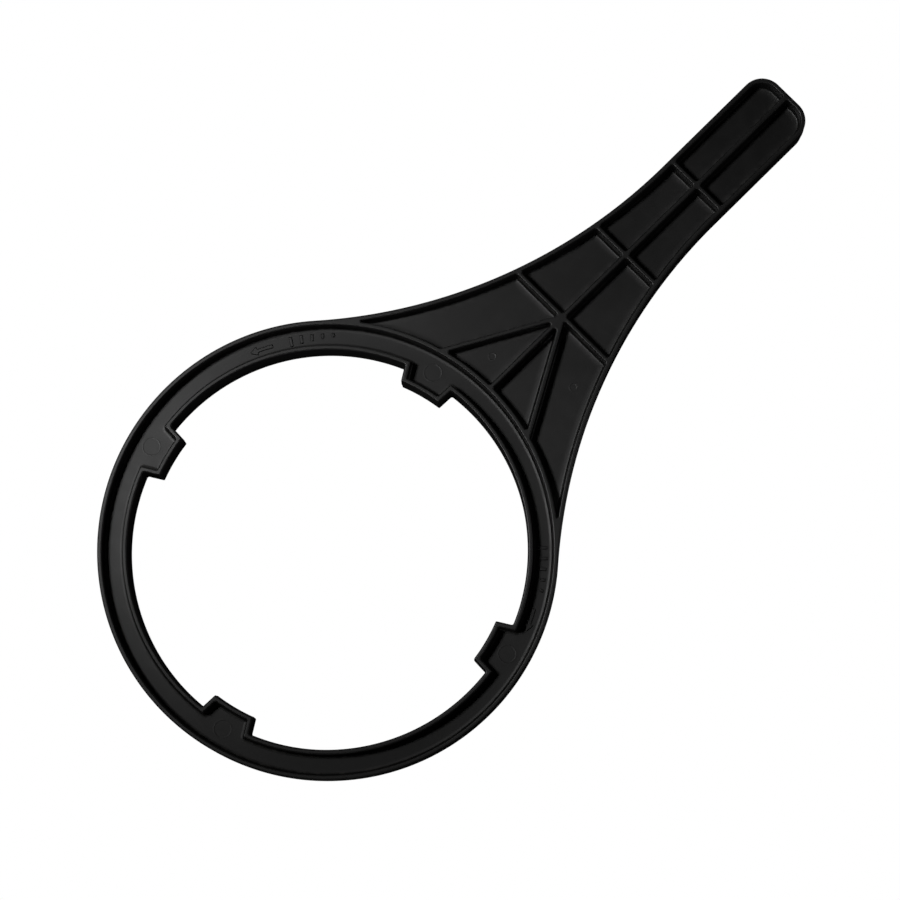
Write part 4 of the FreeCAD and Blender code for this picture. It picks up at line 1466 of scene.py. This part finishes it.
@dataclass
class Studio:
    """A white floor, a soft key light, four weak fills and a camera that looks down."""

    picture_right: tuple[float, float, float] = (0.711, -0.703, 0.0)
    picture_up: tuple[float, float, float] = (0.703, 0.711, 0.0)
    aim: tuple[float, float, float] = (0.0710, -0.0074, 0.020)
    camera_place: tuple[float, float, float] = (-0.0321, -0.1554, 1.4289)
    lens: float = 124.84
    floor_reach: float = 8.0
    floor_drop: float = 0.3 * MM
    key_left: float = 0.52
    key_up: float = 0.10
    key_height: float = 1.3
    key_side: float = 0.22
    key_power: float = 4.2
    fill_reach: float = 1.6
    fill_height: float = 0.5
    fill_side: float = 0.8
    fill_power: float = 1.1

    def over_picture(self, right: float, up: float, height: float) -> tuple[float, float, float]:
        """A point given by its way right and up in the picture from the ring, and its height."""
        point = right * Vector(self.picture_right) + up * Vector(self.picture_up)
        return point.x, point.y, height

    def build(self) -> None:
        """Add the floor, the lights, the surroundings and the camera."""
        bpy.context.scene.view_settings.view_transform = "Standard"
        self.add_floor()
        self.add_surround()
        key = self.over_picture(-self.key_left, self.key_up, self.key_height)
        AreaLamp("key", key, (key[0], key[1], 0.0), self.key_side, self.key_power).add()
        sides = {"left": (-1, 0), "right": (1, 0), "top": (0, 1), "bottom": (0, -1)}
        for name, (right, up) in sides.items():
            fill = self.over_picture(right * self.fill_reach, up * self.fill_reach,
                                     self.fill_height)
            AreaLamp(f"fill_{name}", fill, (0, 0, 0), self.fill_side, self.fill_power).add()
        self.add_camera()

    def add_floor(self) -> None:
        """Add the floor: white to the camera, and dark to every other ray."""
        reach, low = self.floor_reach, -self.floor_drop
        corners = [(-reach, -reach, low), (reach, -reach, low), (reach, reach, low),
                   (-reach, reach, low)]
        mesh = bpy.data.meshes.new("floor")
        mesh.from_pydata(corners, [], [(0, 1, 2, 3)])
        material = bpy.data.materials.new("white_floor")
        material.use_nodes = True
        material.node_tree.nodes.clear()
        sheet = Sheet(material.node_tree)
        seen = sheet.add("Emission", None, Color=(1, 1, 1, 1), Strength=1.0)
        unseen = sheet.add("BsdfDiffuse", None, Color=(0.05, 0.05, 0.05, 1))
        camera_ray = sheet.add("LightPath").outputs["Is Camera Ray"]
        both = sheet.add("MixShader", None, _0=camera_ray, _1=unseen.outputs[0],
                         _2=seen.outputs[0])
        sheet.add("OutputMaterial", None, Surface=both.outputs[0])
        mesh.materials.append(material)
        floor = bpy.data.objects.new("floor", mesh)
        bpy.context.scene.collection.objects.link(floor)

    def add_surround(self) -> None:
        """Make the surroundings white to the camera and dark to every other ray."""
        world = bpy.data.worlds.new("surroundings")
        world.use_nodes = True
        world.node_tree.nodes.clear()
        sheet = Sheet(world.node_tree)
        seen = sheet.add("Background", None, Color=(1, 1, 1, 1), Strength=1.0)
        unseen = sheet.add("Background", None, Color=(0, 0, 0, 1), Strength=0.0)
        camera_ray = sheet.add("LightPath").outputs["Is Camera Ray"]
        both = sheet.add("MixShader", None, _0=camera_ray, _1=unseen.outputs[0],
                         _2=seen.outputs[0])
        sheet.add("OutputWorld", None, Surface=both.outputs[0])
        bpy.context.scene.world = world

    def add_camera(self) -> None:
        """Add the camera, turned so that the picture's up keeps its direction."""
        lens = bpy.data.cameras.new("camera")
        lens.lens, lens.sensor_width = self.lens, 36.0
        lens.clip_end = 50.0
        camera = bpy.data.objects.new("camera", lens)
        bpy.context.scene.collection.objects.link(camera)
        back = (Vector(self.camera_place) - Vector(self.aim)).normalized()
        right = Vector(self.picture_up).cross(back).normalized()
        up = back.cross(right)
        turn = Matrix((right, up, back)).transposed().to_4x4()
        camera.matrix_world = Matrix.Translation(self.camera_place) @ turn
        bpy.context.scene.camera = camera


def report(piece: bpy.types.Object) -> None:
    """Log a piece's name, triangles and size."""
    piece.data.calc_loop_triangles()
    size = [round(side / MM, 2) for side in piece.dimensions]
    LOG.info("%s: %d triangles, %s mm", piece.name, len(piece.data.loop_triangles), size)


def main() -> None:
    """Build the finishes, the moulding, the marks and the studio, in that order."""
    logging.basicConfig(level=logging.INFO, format="%(name)s: %(message)s")
    sizes = ToolSizes.from_frame()
    LOG.info("%s", sizes)
    effects = Effects.make()
    wall = BlackPlastic("wall_plastic", roughness=0.42, specular=0.85, wear=0.35).make(effects)
    ring_web = BlackPlastic("ring_web_plastic", roughness=0.42, specular=0.8).make(effects)
    handle_web = BlackPlastic("handle_web_plastic", roughness=0.41, specular=0.95).make(effects)
    report(Moulding(sizes).build([wall, ring_web, handle_web]))
    for node in ("tighten_mark", "loosen_mark"):
        report(TurningMark(node, sizes).build(ring_web))
    Studio().build()


if __name__ == "__main__":
    main()
